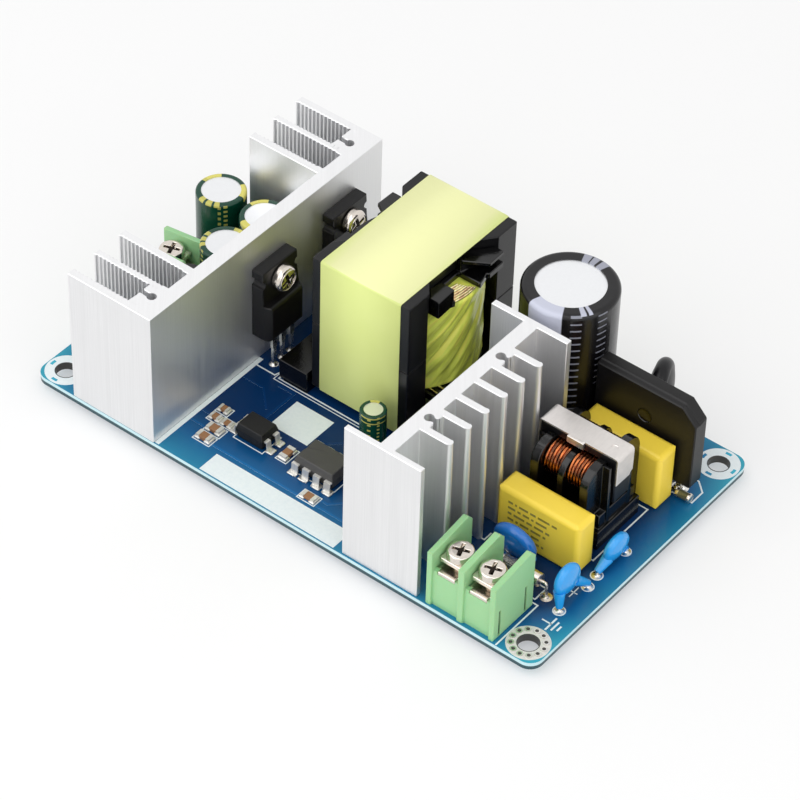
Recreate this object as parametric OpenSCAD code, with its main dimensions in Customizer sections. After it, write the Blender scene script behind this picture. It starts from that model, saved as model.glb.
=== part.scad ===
// Open frame power supply: a populated circuit board with two extruded heatsinks.
// All sizes are in millimetres. The origin is the middle of the board's outline,
// at the height of the soldered lead tips; X runs along the long edge.

/* [Board] */
// Room on the board behind the bridge rectifier
rear_room = 12.4; // [11.4:0.1:26]
// Room on the board beyond the front film capacitor
end_room = 7.3; // [6.6:0.1:20]
// Thickness of the board
board_thickness = 1.6; // [1:0.1:2.4]
// Diameter of the four mounting holes
hole_diameter = 4.2; // [3:0.1:4.6]
// Distance from each mounting hole to the two nearest edges
hole_inset = 4.25; // [4:0.05:4.8]
// Length of the soldered lead tips under the board
lead_tip = 1.8; // [1.2:0.1:3]

/* [Output heatsink] */
// Height of the output heatsink above the board
output_sink_height = 30.6; // [26:0.1:48]
// Depth of the output heatsink from the fin tips to the flat back
output_sink_depth = 19.9; // [19.2:0.1:30]
// Thickness of the output heatsink's plate
output_sink_plate = 3.2; // [2.4:0.1:3.8]

/* [Input heatsink] */
// Height of the input heatsink above the board
input_sink_height = 31.4; // [26:0.1:48]
// Width of the input heatsink across its two flanges
input_sink_width = 17.1; // [15:0.1:26]

/* [Transformer] */
// Width of the transformer's core along the long edge of the board
core_width = 22.6; // [19:0.1:30]
// Length of the transformer's core across the board
core_length = 32; // [28:0.1:36]
// Height of the two core halves together
core_height = 31.8; // [27:0.1:44]

/* [Capacitors] */
// Diameter of the bulk capacitor over its sleeve
bulk_diameter = 18.5; // [14:0.1:22]
// Height of the bulk capacitor
bulk_height = 32.5; // [22:0.5:50]
// Diameter of the three output capacitors over their sleeves
output_can_diameter = 9.9; // [8:0.1:10.7]
// Height of the three output capacitors
output_can_height = 20.5; // [14:0.5:30]
// Height of the small capacitor in front of the transformer
supply_can_height = 11.3; // [7:0.1:16]
// Length of the two film capacitors
film_length = 18.2; // [17.2:0.1:26]
// Thickness of the two film capacitors
film_thickness = 5.4; // [4.6:0.1:8]
// Height of the front film capacitor
film_front_height = 12.1; // [8:0.1:16]
// Height of the rear film capacitor
film_rear_height = 13; // [8:0.1:16]

/* [Choke] */
// Height of the common-mode choke's bobbin
choke_height = 19.4; // [17.5:0.1:28]
// Depth of the common-mode choke across the board
choke_depth = 16.1; // [14.8:0.1:22]

/* [Terminals] */
// Distance between the two screws of each terminal
terminal_pitch = 7.1; // [6.6:0.05:8]
// Height of the terminal walls
terminal_height = 14.3; // [12.6:0.1:18]

/* [Semiconductors] */
// Height of the plastic-bodied power devices
device_height = 16.3; // [15:0.1:18]
// Length of the bridge rectifier
bridge_length = 22.3; // [20:0.1:23.5]
// Height of the bridge rectifier's body
bridge_height = 19; // [14:0.1:26]

/* [Hidden] */
$fn = 48;
board_top = lead_tip + board_thickness;
board_corner = 2.8;
joint_height = 1.1;

// Positions along the long edge, chained from the left edge to the right edge
output_sink_x = 10;
output_plate_x = output_sink_x + output_sink_depth - output_sink_plate;
output_face_x = output_sink_x + output_sink_depth;
device_thickness = 4.6;
base_width = core_width + 14.4;
base_x = output_face_x + device_thickness + 2;
core_x = base_x + base_width / 2;
column_width = max(input_sink_width, bulk_diameter - 1.4);
column_x = base_x + base_width + 1.1;
input_sink_x = column_x + (column_width - input_sink_width) / 2;
bulk_x = column_x + column_width / 2;
row_x = column_x + column_width + 0.8;
row_end = row_x + film_length;
board_length = row_end + end_room;

// Positions across the board, chained from the front edge to the rear edge
terminal_depth = 11.7;
terminal_width = 2 * terminal_pitch + 1;
film_front_y = 0.4 + terminal_depth + 10.2;
choke_y = film_front_y + film_thickness + 0.8;
film_rear_y = choke_y + choke_depth + 0.5;
bridge_y = film_rear_y + film_thickness + 0.6;
bridge_thickness = 3.5;
board_width = bridge_y + bridge_thickness + rear_room;
core_y = board_width - 21.85;
bulk_y = board_width - 2.65 - bulk_diameter / 2;
input_sink_front = 0.3;
input_sink_length = bulk_y - bulk_diameter / 2 - 1.95 - input_sink_front;

// Output side
output_can_radius = output_can_diameter / 2;
can_2_x = output_plate_x - 2.25 - output_can_radius;
can_row_y = 11;
can_2_y = board_width / 2 + can_row_y;
can_1_x = can_2_x - output_can_diameter - 1.4;
can_1_y = can_2_y + 0.5;
can_3_x = can_2_x - 0.6;
can_3_y = can_2_y - output_can_diameter - 0.8;
choke_drum_radius = 3.5;
choke_drum_gap = 9.7;
choke_drum_x = output_plate_x - choke_drum_gap;
choke_drum_y = can_3_y - output_can_radius - 0.35 - choke_drum_radius;
output_terminal_x = 1.3;
output_terminal_shift = 4;
output_terminal_y = board_width / 2 - output_terminal_shift;
device_z = 7.4;
device_width = 10.1;
device_front_y = board_width / 2 - 0.2;
device_rear_y = board_width - 13;
screw_z = device_z + 12.9;

// Transformer
core_z = 2.2;
core_plate = 4.6;
core_top = core_z + core_height;
core_middle = core_z + core_height / 2;
window_radius = core_length * 13.9 / 32;
post_radius = 6.7;
flange_radius = window_radius - 0.2;
flange_thickness = 1.3;
window_low = core_z + core_plate + 0.1;
window_high = core_top - core_plate - 0.1;
base_length = core_length + 1.7;

// Input side
web_x = input_sink_x + 7.3;
web_thickness = 3.1;
bridge_x = row_x + 0.3;
diode_x = row_x + 1.3 + film_length + 2.1;
bridge_z = 3;
bridge_mid = bridge_x + bridge_length / 2;
input_terminal_x = row_x + 1.1;
choke_x = row_x + 0.4;
choke_length = film_length - 1.4;
choke_mid_x = choke_x + choke_length / 2;
choke_mid_y = choke_y + choke_depth / 2;
choke_pin_x = choke_length / 2 - 2.9;
choke_pin_y = choke_depth / 2 - 3;
film_pitch = film_length - 3.2;
disc_y = bridge_y + bridge_thickness + 6.3;
disc_x = bridge_x + 8;
fuse_y = 0.4 + terminal_depth + 3;
ycap_x = row_end + 2.6;

// Front middle
supply_can_x = output_face_x + 32.8;
supply_can_y = core_y - base_length / 2 - 4.4;
supply_can_diameter = 5.1;
coupler_x = output_face_x + 13.8;
controller_x = output_face_x + 29;

// Leads through the board: x, y, width, depth; a depth of zero is a round lead
function row(x, y, pitch, count, w, d) =
  [for (i = [0 : count - 1]) [x + (i - (count - 1) / 2) * pitch, y, w, d]];
function column(x, y, pitch, count, w, d) =
  [for (i = [0 : count - 1]) [x, y + (i - (count - 1) / 2) * pitch, w, d]];

capacitor_lead_list = concat(
  row(bulk_x, bulk_y, 7.5, 2, 0.8, 0),
  column(can_1_x, can_1_y, 5, 2, 0.6, 0),
  column(can_2_x, can_2_y, 5, 2, 0.6, 0),
  column(can_3_x, can_3_y, 5, 2, 0.6, 0),
  row(supply_can_x, supply_can_y, 2, 2, 0.5, 0)
);
film_lead_list = concat(
  row(row_x + film_length / 2, film_front_y + film_thickness / 2, film_pitch, 2, 0.7, 0),
  row(row_x + 1.3 + film_length / 2, film_rear_y + film_thickness / 2, film_pitch, 2, 0.7, 0)
);
bridge_lead_list = row(bridge_mid, bridge_y + 1.9, 5.08, 4, 1.1, 0.6);
input_center_y = input_sink_front + input_sink_length / 2;
fin_scale = input_sink_length / 43.6;
fin_offsets = [2.65, 7.7, 12.9] * fin_scale;
keyhole_offset = (fin_offsets[1] + fin_offsets[2]) / 2;
transistor_y = input_center_y - (fin_offsets[0] + fin_offsets[1]) / 2;
device_lead_x = output_face_x + 3.3;
device_lead_list = concat(
  column(device_lead_x, device_front_y, 2.54, 3, 0.6, 0.75),
  column(device_lead_x, device_rear_y, 2.54, 3, 0.6, 0.75),
  column(web_x - 3.3, transistor_y, 2.54, 3, 0.6, 0.75)
);
transformer_pin_offset = base_width / 2 - 2;
transformer_pin_list = concat(
  column(core_x - transformer_pin_offset, core_y, 5.08, 6, 0.8, 0),
  column(core_x + transformer_pin_offset, core_y, 5.08, 6, 0.8, 0)
);
choke_pin_list = [
  for (x = [-1, 1], y = [-1, 1])
    [choke_mid_x + x * choke_pin_x, choke_mid_y + y * choke_pin_y, 0.7, 0]
];
terminal_pin_list = concat(
  row(input_terminal_x + terminal_width / 2, 0.4 + 5.4, terminal_pitch, 2, 1, 1),
  column(output_terminal_x + 5.4, output_terminal_y, terminal_pitch, 2, 1, 1)
);
keyhole_radius = 0.95;
output_keyhole_x = output_plate_x - 0.8;
output_keyhole_inset = 5.1;
input_keyhole_x = web_x + 2.6;
sink_pin_list = [
  [output_keyhole_x, output_keyhole_inset, 1.6, 0],
  [output_keyhole_x, board_width - output_keyhole_inset, 1.6, 0],
  [input_keyhole_x, input_center_y - keyhole_offset, 1.6, 0],
  [input_keyhole_x, input_center_y + keyhole_offset, 1.6, 0]
];
ycap_front_list = [[ycap_x, fuse_y - 1.2, 0.6, 0], [ycap_x + 0.4, fuse_y + 6.8, 0.6, 0]];
ycap_rear_list = [[ycap_x, fuse_y + 10.1, 0.6, 0], [ycap_x + 0.4, fuse_y + 18.2, 0.6, 0]];
varistor_x = row_x + 7.1;
varistor_y = fuse_y + 3.6;
varistor_list = row(varistor_x, varistor_y, 5, 2, 0.7, 0);
disc_list = [[disc_x - 0.9, disc_y + 2.3, 0.8, 0], [disc_x + 0.9, disc_y - 2.3, 0.8, 0]];
drum_list = column(choke_drum_x, choke_drum_y, 4, 2, 0.7, 0);
fuse_list = [[row_x + 4, fuse_y, 0.6, 0], [row_x + 17, fuse_y, 0.6, 0]];

lead_list = concat(
  capacitor_lead_list, film_lead_list, bridge_lead_list, device_lead_list,
  transformer_pin_list, choke_pin_list, terminal_pin_list, sink_pin_list,
  ycap_front_list, ycap_rear_list, varistor_list, disc_list, drum_list, fuse_list
);

function lead_radius(l) = (l[3] == 0 ? l[2] : norm([l[2], l[3]])) / 2;

// Shared shapes

module place(x, y, z = 0) {
  translate([x - board_length / 2, y - board_width / 2, board_top + z]) children();
}

module rounded_outline(w, d, r) {
  square([w - 2 * r, d], center = true);
  square([w, d - 2 * r], center = true);
  for (x = [-1, 1], y = [-1, 1]) translate([x * (w / 2 - r), y * (d / 2 - r)]) circle(r);
}

module rounded_box(w, d, h, r) {
  intersection() {
    linear_extrude(h) rounded_outline(w, d, r);
    translate([0, d / 2, h / 2]) rotate([90, 0, 0]) linear_extrude(d) rounded_outline(w, h, r);
    translate([-w / 2, 0, h / 2]) rotate([90, 0, 90]) linear_extrude(w) rounded_outline(d, h, r);
  }
}

// Cylinder or cone from one point to another
module rod(p, q, r1, r2) {
  v = q - p;
  l = norm(v);
  translate(p) rotate([0, acos(v[2] / l), atan2(v[1], v[0])]) cylinder(h = l, r1 = r1, r2 = r2);
}

module lead_shape(l, h) {
  if (l[3] == 0) cylinder(h = h, d = l[2]);
  else translate([-l[2] / 2, -l[3] / 2, 0]) cube([l[2], l[3], h]);
}

module leads(list, top) {
  for (l = list) place(l[0], l[1], -board_top) lead_shape(l, board_top + top);
}

// Profile along X and Z extruded along Y from y0 over a depth
module along_y(y0, depth) {
  translate([0, y0 + depth, 0]) rotate([90, 0, 0]) linear_extrude(depth) children();
}

// Profile along Y and Z extruded along X from x0 over a width
module along_x(x0, width) {
  translate([x0, 0, 0]) rotate([90, 0, 90]) linear_extrude(width) children();
}

// Board and solder

module board() {
  color("#12508a") difference() {
    place(0, 0, -board_thickness) linear_extrude(board_thickness) {
      r = board_corner;
      translate([r, 0]) square([board_length - 2 * r, board_width]);
      translate([0, r]) square([board_length, board_width - 2 * r]);
      for (x = [r, board_length - r], y = [r, board_width - r]) translate([x, y]) circle(r);
    }
    for (x = [hole_inset, board_length - hole_inset], y = [hole_inset, board_width - hole_inset])
      place(x, y, -board_thickness - 1) cylinder(h = board_thickness + 2, d = hole_diameter);
    for (l = lead_list)
      place(l[0], l[1], -board_thickness - 1)
        cylinder(h = board_thickness + 2, r = lead_radius(l) + 0.12);
  }
}

module solder_joints() {
  color("#c9cbcc") for (l = lead_list)
    place(l[0], l[1], -board_thickness - joint_height) difference() {
      cylinder(h = joint_height, r1 = lead_radius(l) + 0.2, r2 = lead_radius(l) + 0.6);
      translate([0, 0, -1]) lead_shape(l, joint_height + 2);
    }
}

// Heatsinks

serration_pitch = 0.95;
serration_depth = 0.28;

// One edge of a fin, plain or cut with small V grooves towards the given side
function fin_edge(x0, x1, y, side) =
  side == 0 ? [[x0, y], [x1, y]] :
  let (n = floor((x1 - x0 - 0.8) / serration_pitch))
  concat(
    [[x0, y]],
    [for (i = [0 : n - 1], k = [0, 0.5])
      [x0 + 0.4 + (i + k) * serration_pitch, y + (k == 0 ? 0 : side * serration_depth)]],
    [[x0 + 0.4 + n * serration_pitch, y], [x1, y]]
  );

function backwards(v) = [for (i = [len(v) - 1 : -1 : 0]) v[i]];

module grooved_fin(x0, x1, y0, y1, low, high) {
  polygon(concat(fin_edge(x0, x1, y0, low), backwards(fin_edge(x0, x1, y1, -high))));
}

// Round channel with a narrow mouth whose lips are rounded; the mouth opens towards -X
module keyhole(reach) {
  lip = 0.4;
  neck = 1;
  circle(keyhole_radius);
  translate([-reach - 0.5, -neck / 2]) square([reach + 0.5, neck]);
  difference() {
    translate([-reach - 0.5, -neck / 2 - lip]) square([0.5 + lip, neck + 2 * lip]);
    for (s = [-1, 1]) translate([lip - reach, s * (neck / 2 + lip)]) circle(lip);
  }
}

module output_fins() {
  root = output_plate_x + 0.5;
  grooved = output_plate_x - 0.4;
  x = output_sink_x;
  translate([output_plate_x, 0]) square([output_sink_plate, board_width / 2]);
  grooved_fin(x, grooved, 0, 1.9, 0, 1);
  translate([grooved - 0.1, 0]) square([root - grooved, 1.9]);
  grooved_fin(x, grooved, 7.2, 8.8, 1, 1);
  translate([grooved - 0.1, 7.2]) square([root - grooved, 1.6]);
  grooved_fin(x, grooved, 14, 15.8, 1, 0);
  translate([grooved - 0.1, 14]) square([root - grooved, 1.8]);
  translate([output_plate_x - 3.3, 1.7]) square([3.5, 5.7]);
}

module output_heatsink() {
  color("#d3d5d6") difference() {
    place(0, 0) linear_extrude(output_sink_height) difference() {
      union() {
        output_fins();
        translate([0, board_width]) mirror([0, 1]) output_fins();
      }
      for (y = [output_keyhole_inset, board_width - output_keyhole_inset])
        translate([output_keyhole_x, y]) keyhole(2.5);
    }
    for (y = [device_front_y, device_rear_y])
      place(output_face_x - output_sink_plate - 1, y, screw_z)
        rotate([0, 90, 0]) cylinder(h = output_sink_plate + 2, r = 1.55);
  }
}

module input_profile() {
  half = input_sink_length / 2;
  end = input_sink_x + input_sink_width;
  fin = 1.5;
  translate([web_x, -half]) square([web_thickness, input_sink_length]);
  translate([input_sink_x, -half]) square([input_sink_width, 1.2]);
  translate([input_sink_x, half - 1.4]) square([input_sink_width, 1.4]);
  for (s = [-1, 1], y = fin_offsets) {
    translate([web_x + 1, s * y - fin / 2]) square([end - fin / 2 - web_x - 1, fin]);
    translate([end - fin / 2, s * y]) circle(fin / 2);
  }
  for (s = [-1, 1]) translate([web_x + 1, s * keyhole_offset - 2.4 * fin_scale])
    square([web_thickness + 0.1, 4.8 * fin_scale]);
}

module input_heatsink() {
  color("#d3d5d6") difference() {
    place(0, input_center_y) linear_extrude(input_sink_height) difference() {
      input_profile();
      for (s = [-1, 1]) translate([input_keyhole_x, s * keyhole_offset])
        rotate(180) keyhole(1.5);
    }
    place(web_x - 1, transistor_y, screw_z)
      rotate([0, 90, 0]) cylinder(h = web_thickness + 2, r = 1.55);
  }
}

module heatsink_pins() {
  color("#c9cbcc") leads(sink_pin_list, 6);
}

// Transformer

notch_depth = 3.7;

// Outline of a back plate, grown by a clearance
module core_plate_outline(gap = 0) {
  w = core_width / 2 + gap;
  l = core_length / 2 + gap;
  near = core_length * 0.172 + gap * 0.5;
  far = core_length * 0.322 - gap * 0.5;
  for (s = [-1, 1]) polygon([
    [-w, s * l], [w, s * l], [w, s * far], [w - notch_depth, s * near], [w - notch_depth, 0],
    [notch_depth - w, 0], [notch_depth - w, s * near], [-w, s * far]
  ]);
}

module core_leg_outline() {
  w = core_width / 2;
  l = core_length / 2;
  difference() {
    square([core_width, core_length], center = true);
    circle(window_radius, $fn = 96);
    polygon([
      [-w - 1, -l * 0.63], [-w, -l * 0.644], [2.8 - w, -l * 0.68], [w - 2.8, -l * 0.68],
      [w, -l * 0.644], [w + 1, -l * 0.63], [w + 1, l * 0.63], [w, l * 0.644],
      [w - 2.8, l * 0.68], [2.8 - w, l * 0.68], [-w, l * 0.644], [-w - 1, l * 0.63]
    ]);
  }
}

// One core half standing on its back plate
module core_half() {
  h = core_height / 2;
  linear_extrude(core_plate) core_plate_outline();
  linear_extrude(h) core_leg_outline();
  cylinder(h = h, r = post_radius);
}

module core_lower() {
  color("#1c1c1e") place(core_x, core_y, core_z) core_half();
}

module core_upper() {
  color("#1c1c1e") place(core_x, core_y, core_top) mirror([0, 0, 1]) core_half();
}

module core_tape() {
  t = 0.2;
  width = core_width - 4;
  color("#e6ea9a") place(core_x, core_y, core_middle) along_x(-width / 2, width) difference() {
    rounded_outline(core_length + 2 * t, core_height + 2 * t, 0.35);
    square([core_length, core_height], center = true);
  }
}

// Horns of the upper flange that stand in the core's notch: a block beside the front
// leg, and two shelves on a post beside the rear leg
horn_out = window_radius - 1.1;
horn_top = core_top - 2.1;

module wire_guides() {
  low = window_high - flange_thickness;
  leg = core_length * 0.322;
  front = core_length * 0.138;
  translate([0, 0, low]) linear_extrude(horn_top - low)
    polygon([[8.4, -leg + 1], [horn_out, -leg + 1], [horn_out - 0.2, -front], [9.6, -front]]);
  for (z = [low, horn_top - 0.9]) translate([0, 0, z])
    linear_extrude(z == low ? flange_thickness : 0.9)
      polygon([[8.2, 2.2], [horn_out + 0.4, 5.4], [horn_out + 0.3, leg - 0.5], [8.2, leg - 0.5]]);
  translate([0, 0, low]) linear_extrude(horn_top - low)
    polygon([[7, 2.4], [8.8, 2.4], [10.5, leg - 1.7], [10.5, leg - 0.5], [7, leg - 0.5]]);
}

// Opening in the upper flange between the two horns on the input side
module wire_exit() {
  translate([8.6, -core_length * 0.138, window_high - flange_thickness - 0.1])
    cube([6, core_length * 0.138 + 2.2, flange_thickness + 0.1]);
}

module transformer_bobbin() {
  rail_out = base_width / 2;
  rail_in = core_width / 2 + 0.4;
  color("#1f1f21") place(core_x, core_y) difference() {
    union() {
      translate([0, 0, window_low])
        cylinder(h = window_high - window_low, r = post_radius + 1.2);
      translate([0, 0, window_low]) cylinder(h = flange_thickness, r = flange_radius);
      translate([0, 0, window_high - flange_thickness])
        cylinder(h = flange_thickness, r = flange_radius);
      for (s = [0, 1]) mirror([s, 0, 0]) {
        translate([rail_in, -base_length / 2, 0.5])
          cube([rail_out - rail_in, base_length, 4.5]);
        translate([rail_in, -9.2, 0.5])
          cube([rail_out - rail_in - 1.6, 18.4, window_low + flange_thickness - 0.5]);
        translate([8, -9.2, window_low]) cube([rail_in - 7, 18.4, flange_thickness]);
        for (y = [-1, 1]) translate([rail_in, y * (base_length / 2 - 1.7) - 1.7, 0])
          cube([rail_out - rail_in - 1, 3.4, 1]);
        wire_guides();
      }
    }
    translate([0, 0, window_low - 1])
      cylinder(h = window_high - window_low + 2, r = post_radius + 0.1);
    translate([0, 0, core_top - core_plate - 0.1])
      linear_extrude(core_plate + 2) core_plate_outline(0.15);
    wire_exit();
  }
}

module transformer_winding() {
  z0 = window_low + flange_thickness;
  h = window_high - flange_thickness - z0;
  r = window_radius - 0.65;
  color("#a9b84a") place(core_x, core_y, z0) rotate_extrude($fn = 96) {
    translate([post_radius + 1.2, 0]) square([r - post_radius - 1.7, h]);
    translate([r - 1.2, 0.5]) square([1.2, h - 1]);
    for (z = [0.5, h - 0.5]) translate([r - 0.5, z]) circle(0.5);
  }
}

// Last turns that show in the flange's opening, and wire ends at the foot of the winding
module transformer_strands() {
  wire = 0.44;
  low = window_high - flange_thickness;
  color("#d98a4e") place(core_x, core_y) {
    for (i = [0 : 6]) {
      r = window_radius - 1.15 - i * wire * 0.68;
      translate([0, 0, low + wire * (0.45 + 0.68 * i)])
        rotate([0, 0, -19]) rotate_extrude(angle = 27 - i * 2.5) translate([r, 0])
          circle(d = wire, $fn = 16);
    }
    for (y = [-8, -6.4]) {
      reach = sqrt(pow(window_radius - 0.65, 2) - y * y);
      start = [reach - 0.3, y, window_low + flange_thickness + 0.25];
      rod(start, start + [2.2, -0.2, 0], 0.22, 0.22);
    }
  }
}

module transformer_pins() {
  color("#c9cbcc") leads(transformer_pin_list, 0.5);
}

// Electrolytic capacitors

// Half outline of a can with a rounded top edge and a crimp groove
module can_outline(r, h, edge, groove, groove_z) {
  difference() {
    union() {
      square([r, h - edge]);
      square([r - edge, h]);
      translate([r - edge, h - edge]) circle(edge, $fn = 32);
    }
    translate([r + 0.5, groove_z]) circle(groove, $fn = 32);
  }
}

module can(d, h, t) {
  r = d / 2 - t;
  rotate_extrude($fn = 72) difference() {
    translate([0, t]) can_outline(r, h - 2 * t, d * 0.04, 0.5 + d * 0.025, d * 0.16);
    square([r - 0.1 * d, 0.08 * d]);
  }
}

module can_sleeve(d, h, t, disc) {
  r = d / 2 - t;
  rotate_extrude($fn = 72) difference() {
    can_outline(d / 2, h, d * 0.04 + t, 0.5 + d * 0.025 - t, d * 0.16 + t);
    translate([0, t]) can_outline(r, h - 2 * t, d * 0.04, 0.5 + d * 0.025, d * 0.16);
    square([disc, h + 1]);
    square([r - 0.08 * d, h / 2]);
  }
}

module can_bung(d, t) {
  cylinder(h = 0.08 * d, r = d / 2 - t - 0.1 * d, $fn = 72);
}

bulk_film = 0.25;
can_film = 0.15;

module bulk_can() {
  color("#e8e8e8") place(bulk_x, bulk_y) can(bulk_diameter, bulk_height, bulk_film);
}

module bulk_sleeve() {
  color("#2a282c") place(bulk_x, bulk_y)
    can_sleeve(bulk_diameter, bulk_height, bulk_film, bulk_diameter * 0.362);
}

module bulk_bung() {
  color("#333333") place(bulk_x, bulk_y) can_bung(bulk_diameter, bulk_film);
}

module output_can_at(i) {
  place([can_1_x, can_2_x, can_3_x][i], [can_1_y, can_2_y, can_3_y][i]) children();
}

module output_can(i) {
  color("#e8e8e8") output_can_at(i) can(output_can_diameter, output_can_height, can_film);
}

module output_sleeve(i) {
  color("#0f5a46") output_can_at(i)
    can_sleeve(output_can_diameter, output_can_height, can_film, output_can_diameter * 0.39);
}

module output_can_1() { output_can(0); }
module output_can_2() { output_can(1); }
module output_can_3() { output_can(2); }
module output_sleeve_1() { output_sleeve(0); }
module output_sleeve_2() { output_sleeve(1); }
module output_sleeve_3() { output_sleeve(2); }

module supply_can() {
  color("#e8e8e8") place(supply_can_x, supply_can_y)
    can(supply_can_diameter, supply_can_height, can_film);
}

module supply_sleeve() {
  color("#0f5a46") place(supply_can_x, supply_can_y)
    can_sleeve(supply_can_diameter, supply_can_height, can_film, supply_can_diameter * 0.36);
}

module small_bungs() {
  color("#333333") {
    for (i = [0 : 2]) output_can_at(i) can_bung(output_can_diameter, can_film);
    place(supply_can_x, supply_can_y) can_bung(supply_can_diameter, can_film);
  }
}

module capacitor_leads() {
  color("#c9cbcc") leads(capacitor_lead_list, 0);
}

// Bridge rectifier

module bridge_rectifier() {
  l = bridge_length;
  h = bridge_height;
  color("#2b2728") place(bridge_x, bridge_y, bridge_z) difference() {
    union() {
      along_y(0, bridge_thickness) polygon([
        [0, 0.4], [0.4, 0], [l - 0.4, 0], [l, 0.4], [l, h - 3.6], [l - 3.2, h - 0.4], [0, h - 0.4]
      ]);
      along_y(1.2, bridge_thickness - 1.2) polygon([
        [0, 1], [l, 1], [l, h - 3.2], [l - 3.2, h], [0, h]
      ]);
    }
    translate([l / 2, -1, h * 0.63]) rotate([-90, 0, 0]) cylinder(h = 1.5, r = 1.6);
  }
}

module bridge_leads() {
  color("#c9cbcc") leads(bridge_lead_list, bridge_z);
}

// Film and disc capacitors

module film_capacitor_front() {
  color("#e8cf45") place(row_x + film_length / 2, film_front_y + film_thickness / 2)
    rounded_box(film_length, film_thickness, film_front_height, 1);
}

module film_capacitor_rear() {
  color("#e8cf45") place(row_x + 1.3 + film_length / 2, film_rear_y + film_thickness / 2)
    rounded_box(film_length, film_thickness, film_rear_height, 1);
}

module film_leads() {
  color("#c9cbcc") leads(film_lead_list, 0);
}

// Dipped disc with its axis along X: radius, thickness and rounding of the rim
module dipped_disc(r, t, e) {
  c = r - e;
  big = (c * c + t * t / 4 - e * e) / (t - 2 * e);
  touch = c * big / (big - e);
  rotate([0, 90, 0]) rotate_extrude() {
    intersection() {
      translate([0, t / 2 - big]) circle(big, $fn = 180);
      translate([0, big - t / 2]) circle(big, $fn = 180);
      translate([0, -t]) square([touch, 2 * t]);
    }
    translate([c, 0]) circle(e * 1.05, $fn = 32);
  }
}

// Dipped disc on two leads, its coating running down both leads to the given height;
// shift moves the disc along X and Y from the middle of its leads
module two_legged_disc(list, shift, z, r, t, lean, dip) {
  a = list[0];
  b = list[1];
  mid = [(a[0] + b[0]) / 2 + shift[0], (a[1] + b[1]) / 2 + shift[1], z];
  turn = atan2(b[1] - a[1], b[0] - a[0]) - 90;
  reach = r * 0.62;
  drop = -r * 0.55;
  place(0, 0) {
    translate(mid) rotate([0, 0, turn]) rotate([0, lean, 0]) dipped_disc(r, t, t * 0.32);
    for (s = [-1, 1]) {
      foot = s < 0 ? [a[0], a[1], dip] : [b[0], b[1], dip];
      top = mid + [
        sin(lean) * drop * cos(turn) - s * reach * sin(turn),
        sin(lean) * drop * sin(turn) + s * reach * cos(turn),
        cos(lean) * drop
      ];
      rod(foot, top, list[0][2] * 1.15, t * 0.42);
    }
  }
}

module y_capacitor_front() {
  color("#2f9bea") two_legged_disc(ycap_front_list, [-0.6, -1.6], 6.1, 3.2, 2.8, 0, 1);
}

module y_capacitor_rear() {
  color("#2f9bea") two_legged_disc(ycap_rear_list, [0.4, 0.6], 4.2, 3.1, 2.8, 8, 0.9);
}

module varistor() {
  color("#1f6fc4") two_legged_disc(varistor_list, [0, 0], 4.8, 4.5, 3.6, 14, 0.8);
}

module inrush_disc() {
  color("#242226") two_legged_disc(disc_list, [0, 0], 13.2, 5.5, 4.6, 0, 6);
}

module disc_leads() {
  color("#c9cbcc") {
    leads(ycap_front_list, 1);
    leads(ycap_rear_list, 0.9);
    leads(varistor_list, 0.8);
    leads(disc_list, 6);
  }
}

// Common-mode choke

choke_core_height = 10.6;
choke_core_depth = 4.8;
choke_leg = 1.7;
choke_center_leg = 3.4;
choke_end = 1.9;
choke_core_top = choke_height + 0.2;
choke_axis = choke_core_top - choke_core_height / 2;
end_flange = 1.8;
mid_flange = 1.3;
coil_y = choke_depth - 3.6;
coil_h = 6.3;
coil_round = 2.9;
tube_wall = 0.7;
bobbin_half = choke_length / 2 - choke_end - 0.1;
section_width = bobbin_half - end_flange - mid_flange / 2;

// E-shaped half of the core standing on edge, its three legs along X
module choke_core_half() {
  half = choke_length / 2;
  legs = [
    [choke_core_height / 2 - choke_leg, choke_leg], [-choke_core_height / 2, choke_leg],
    [-choke_center_leg / 2, choke_center_leg]
  ];
  translate([-half, -choke_core_depth / 2, -choke_core_height / 2])
    cube([choke_end, choke_core_depth, choke_core_height]);
  for (l = legs) translate([-half, -choke_core_depth / 2, l[0]])
    cube([half, choke_core_depth, l[1]]);
}

module choke_core_left() {
  color("#1c1c1e") place(choke_mid_x, choke_mid_y, choke_axis) choke_core_half();
}

module choke_core_right() {
  color("#1c1c1e") place(choke_mid_x, choke_mid_y, choke_axis) mirror([1, 0, 0])
    choke_core_half();
}

module tube_outline(gap = 0) {
  rounded_outline(
    choke_core_depth + 2 * tube_wall + gap, choke_center_leg + 2 * tube_wall + gap, 0.6);
}

// Flange across the bobbin with round upper corners
module choke_flange(depth, top, r) {
  translate([-depth / 2, 0]) square([depth, top - r]);
  translate([r - depth / 2, 0]) square([depth - 2 * r, top]);
  for (s = [-1, 1]) translate([s * (depth / 2 - r), top - r]) circle(r);
}

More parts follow.
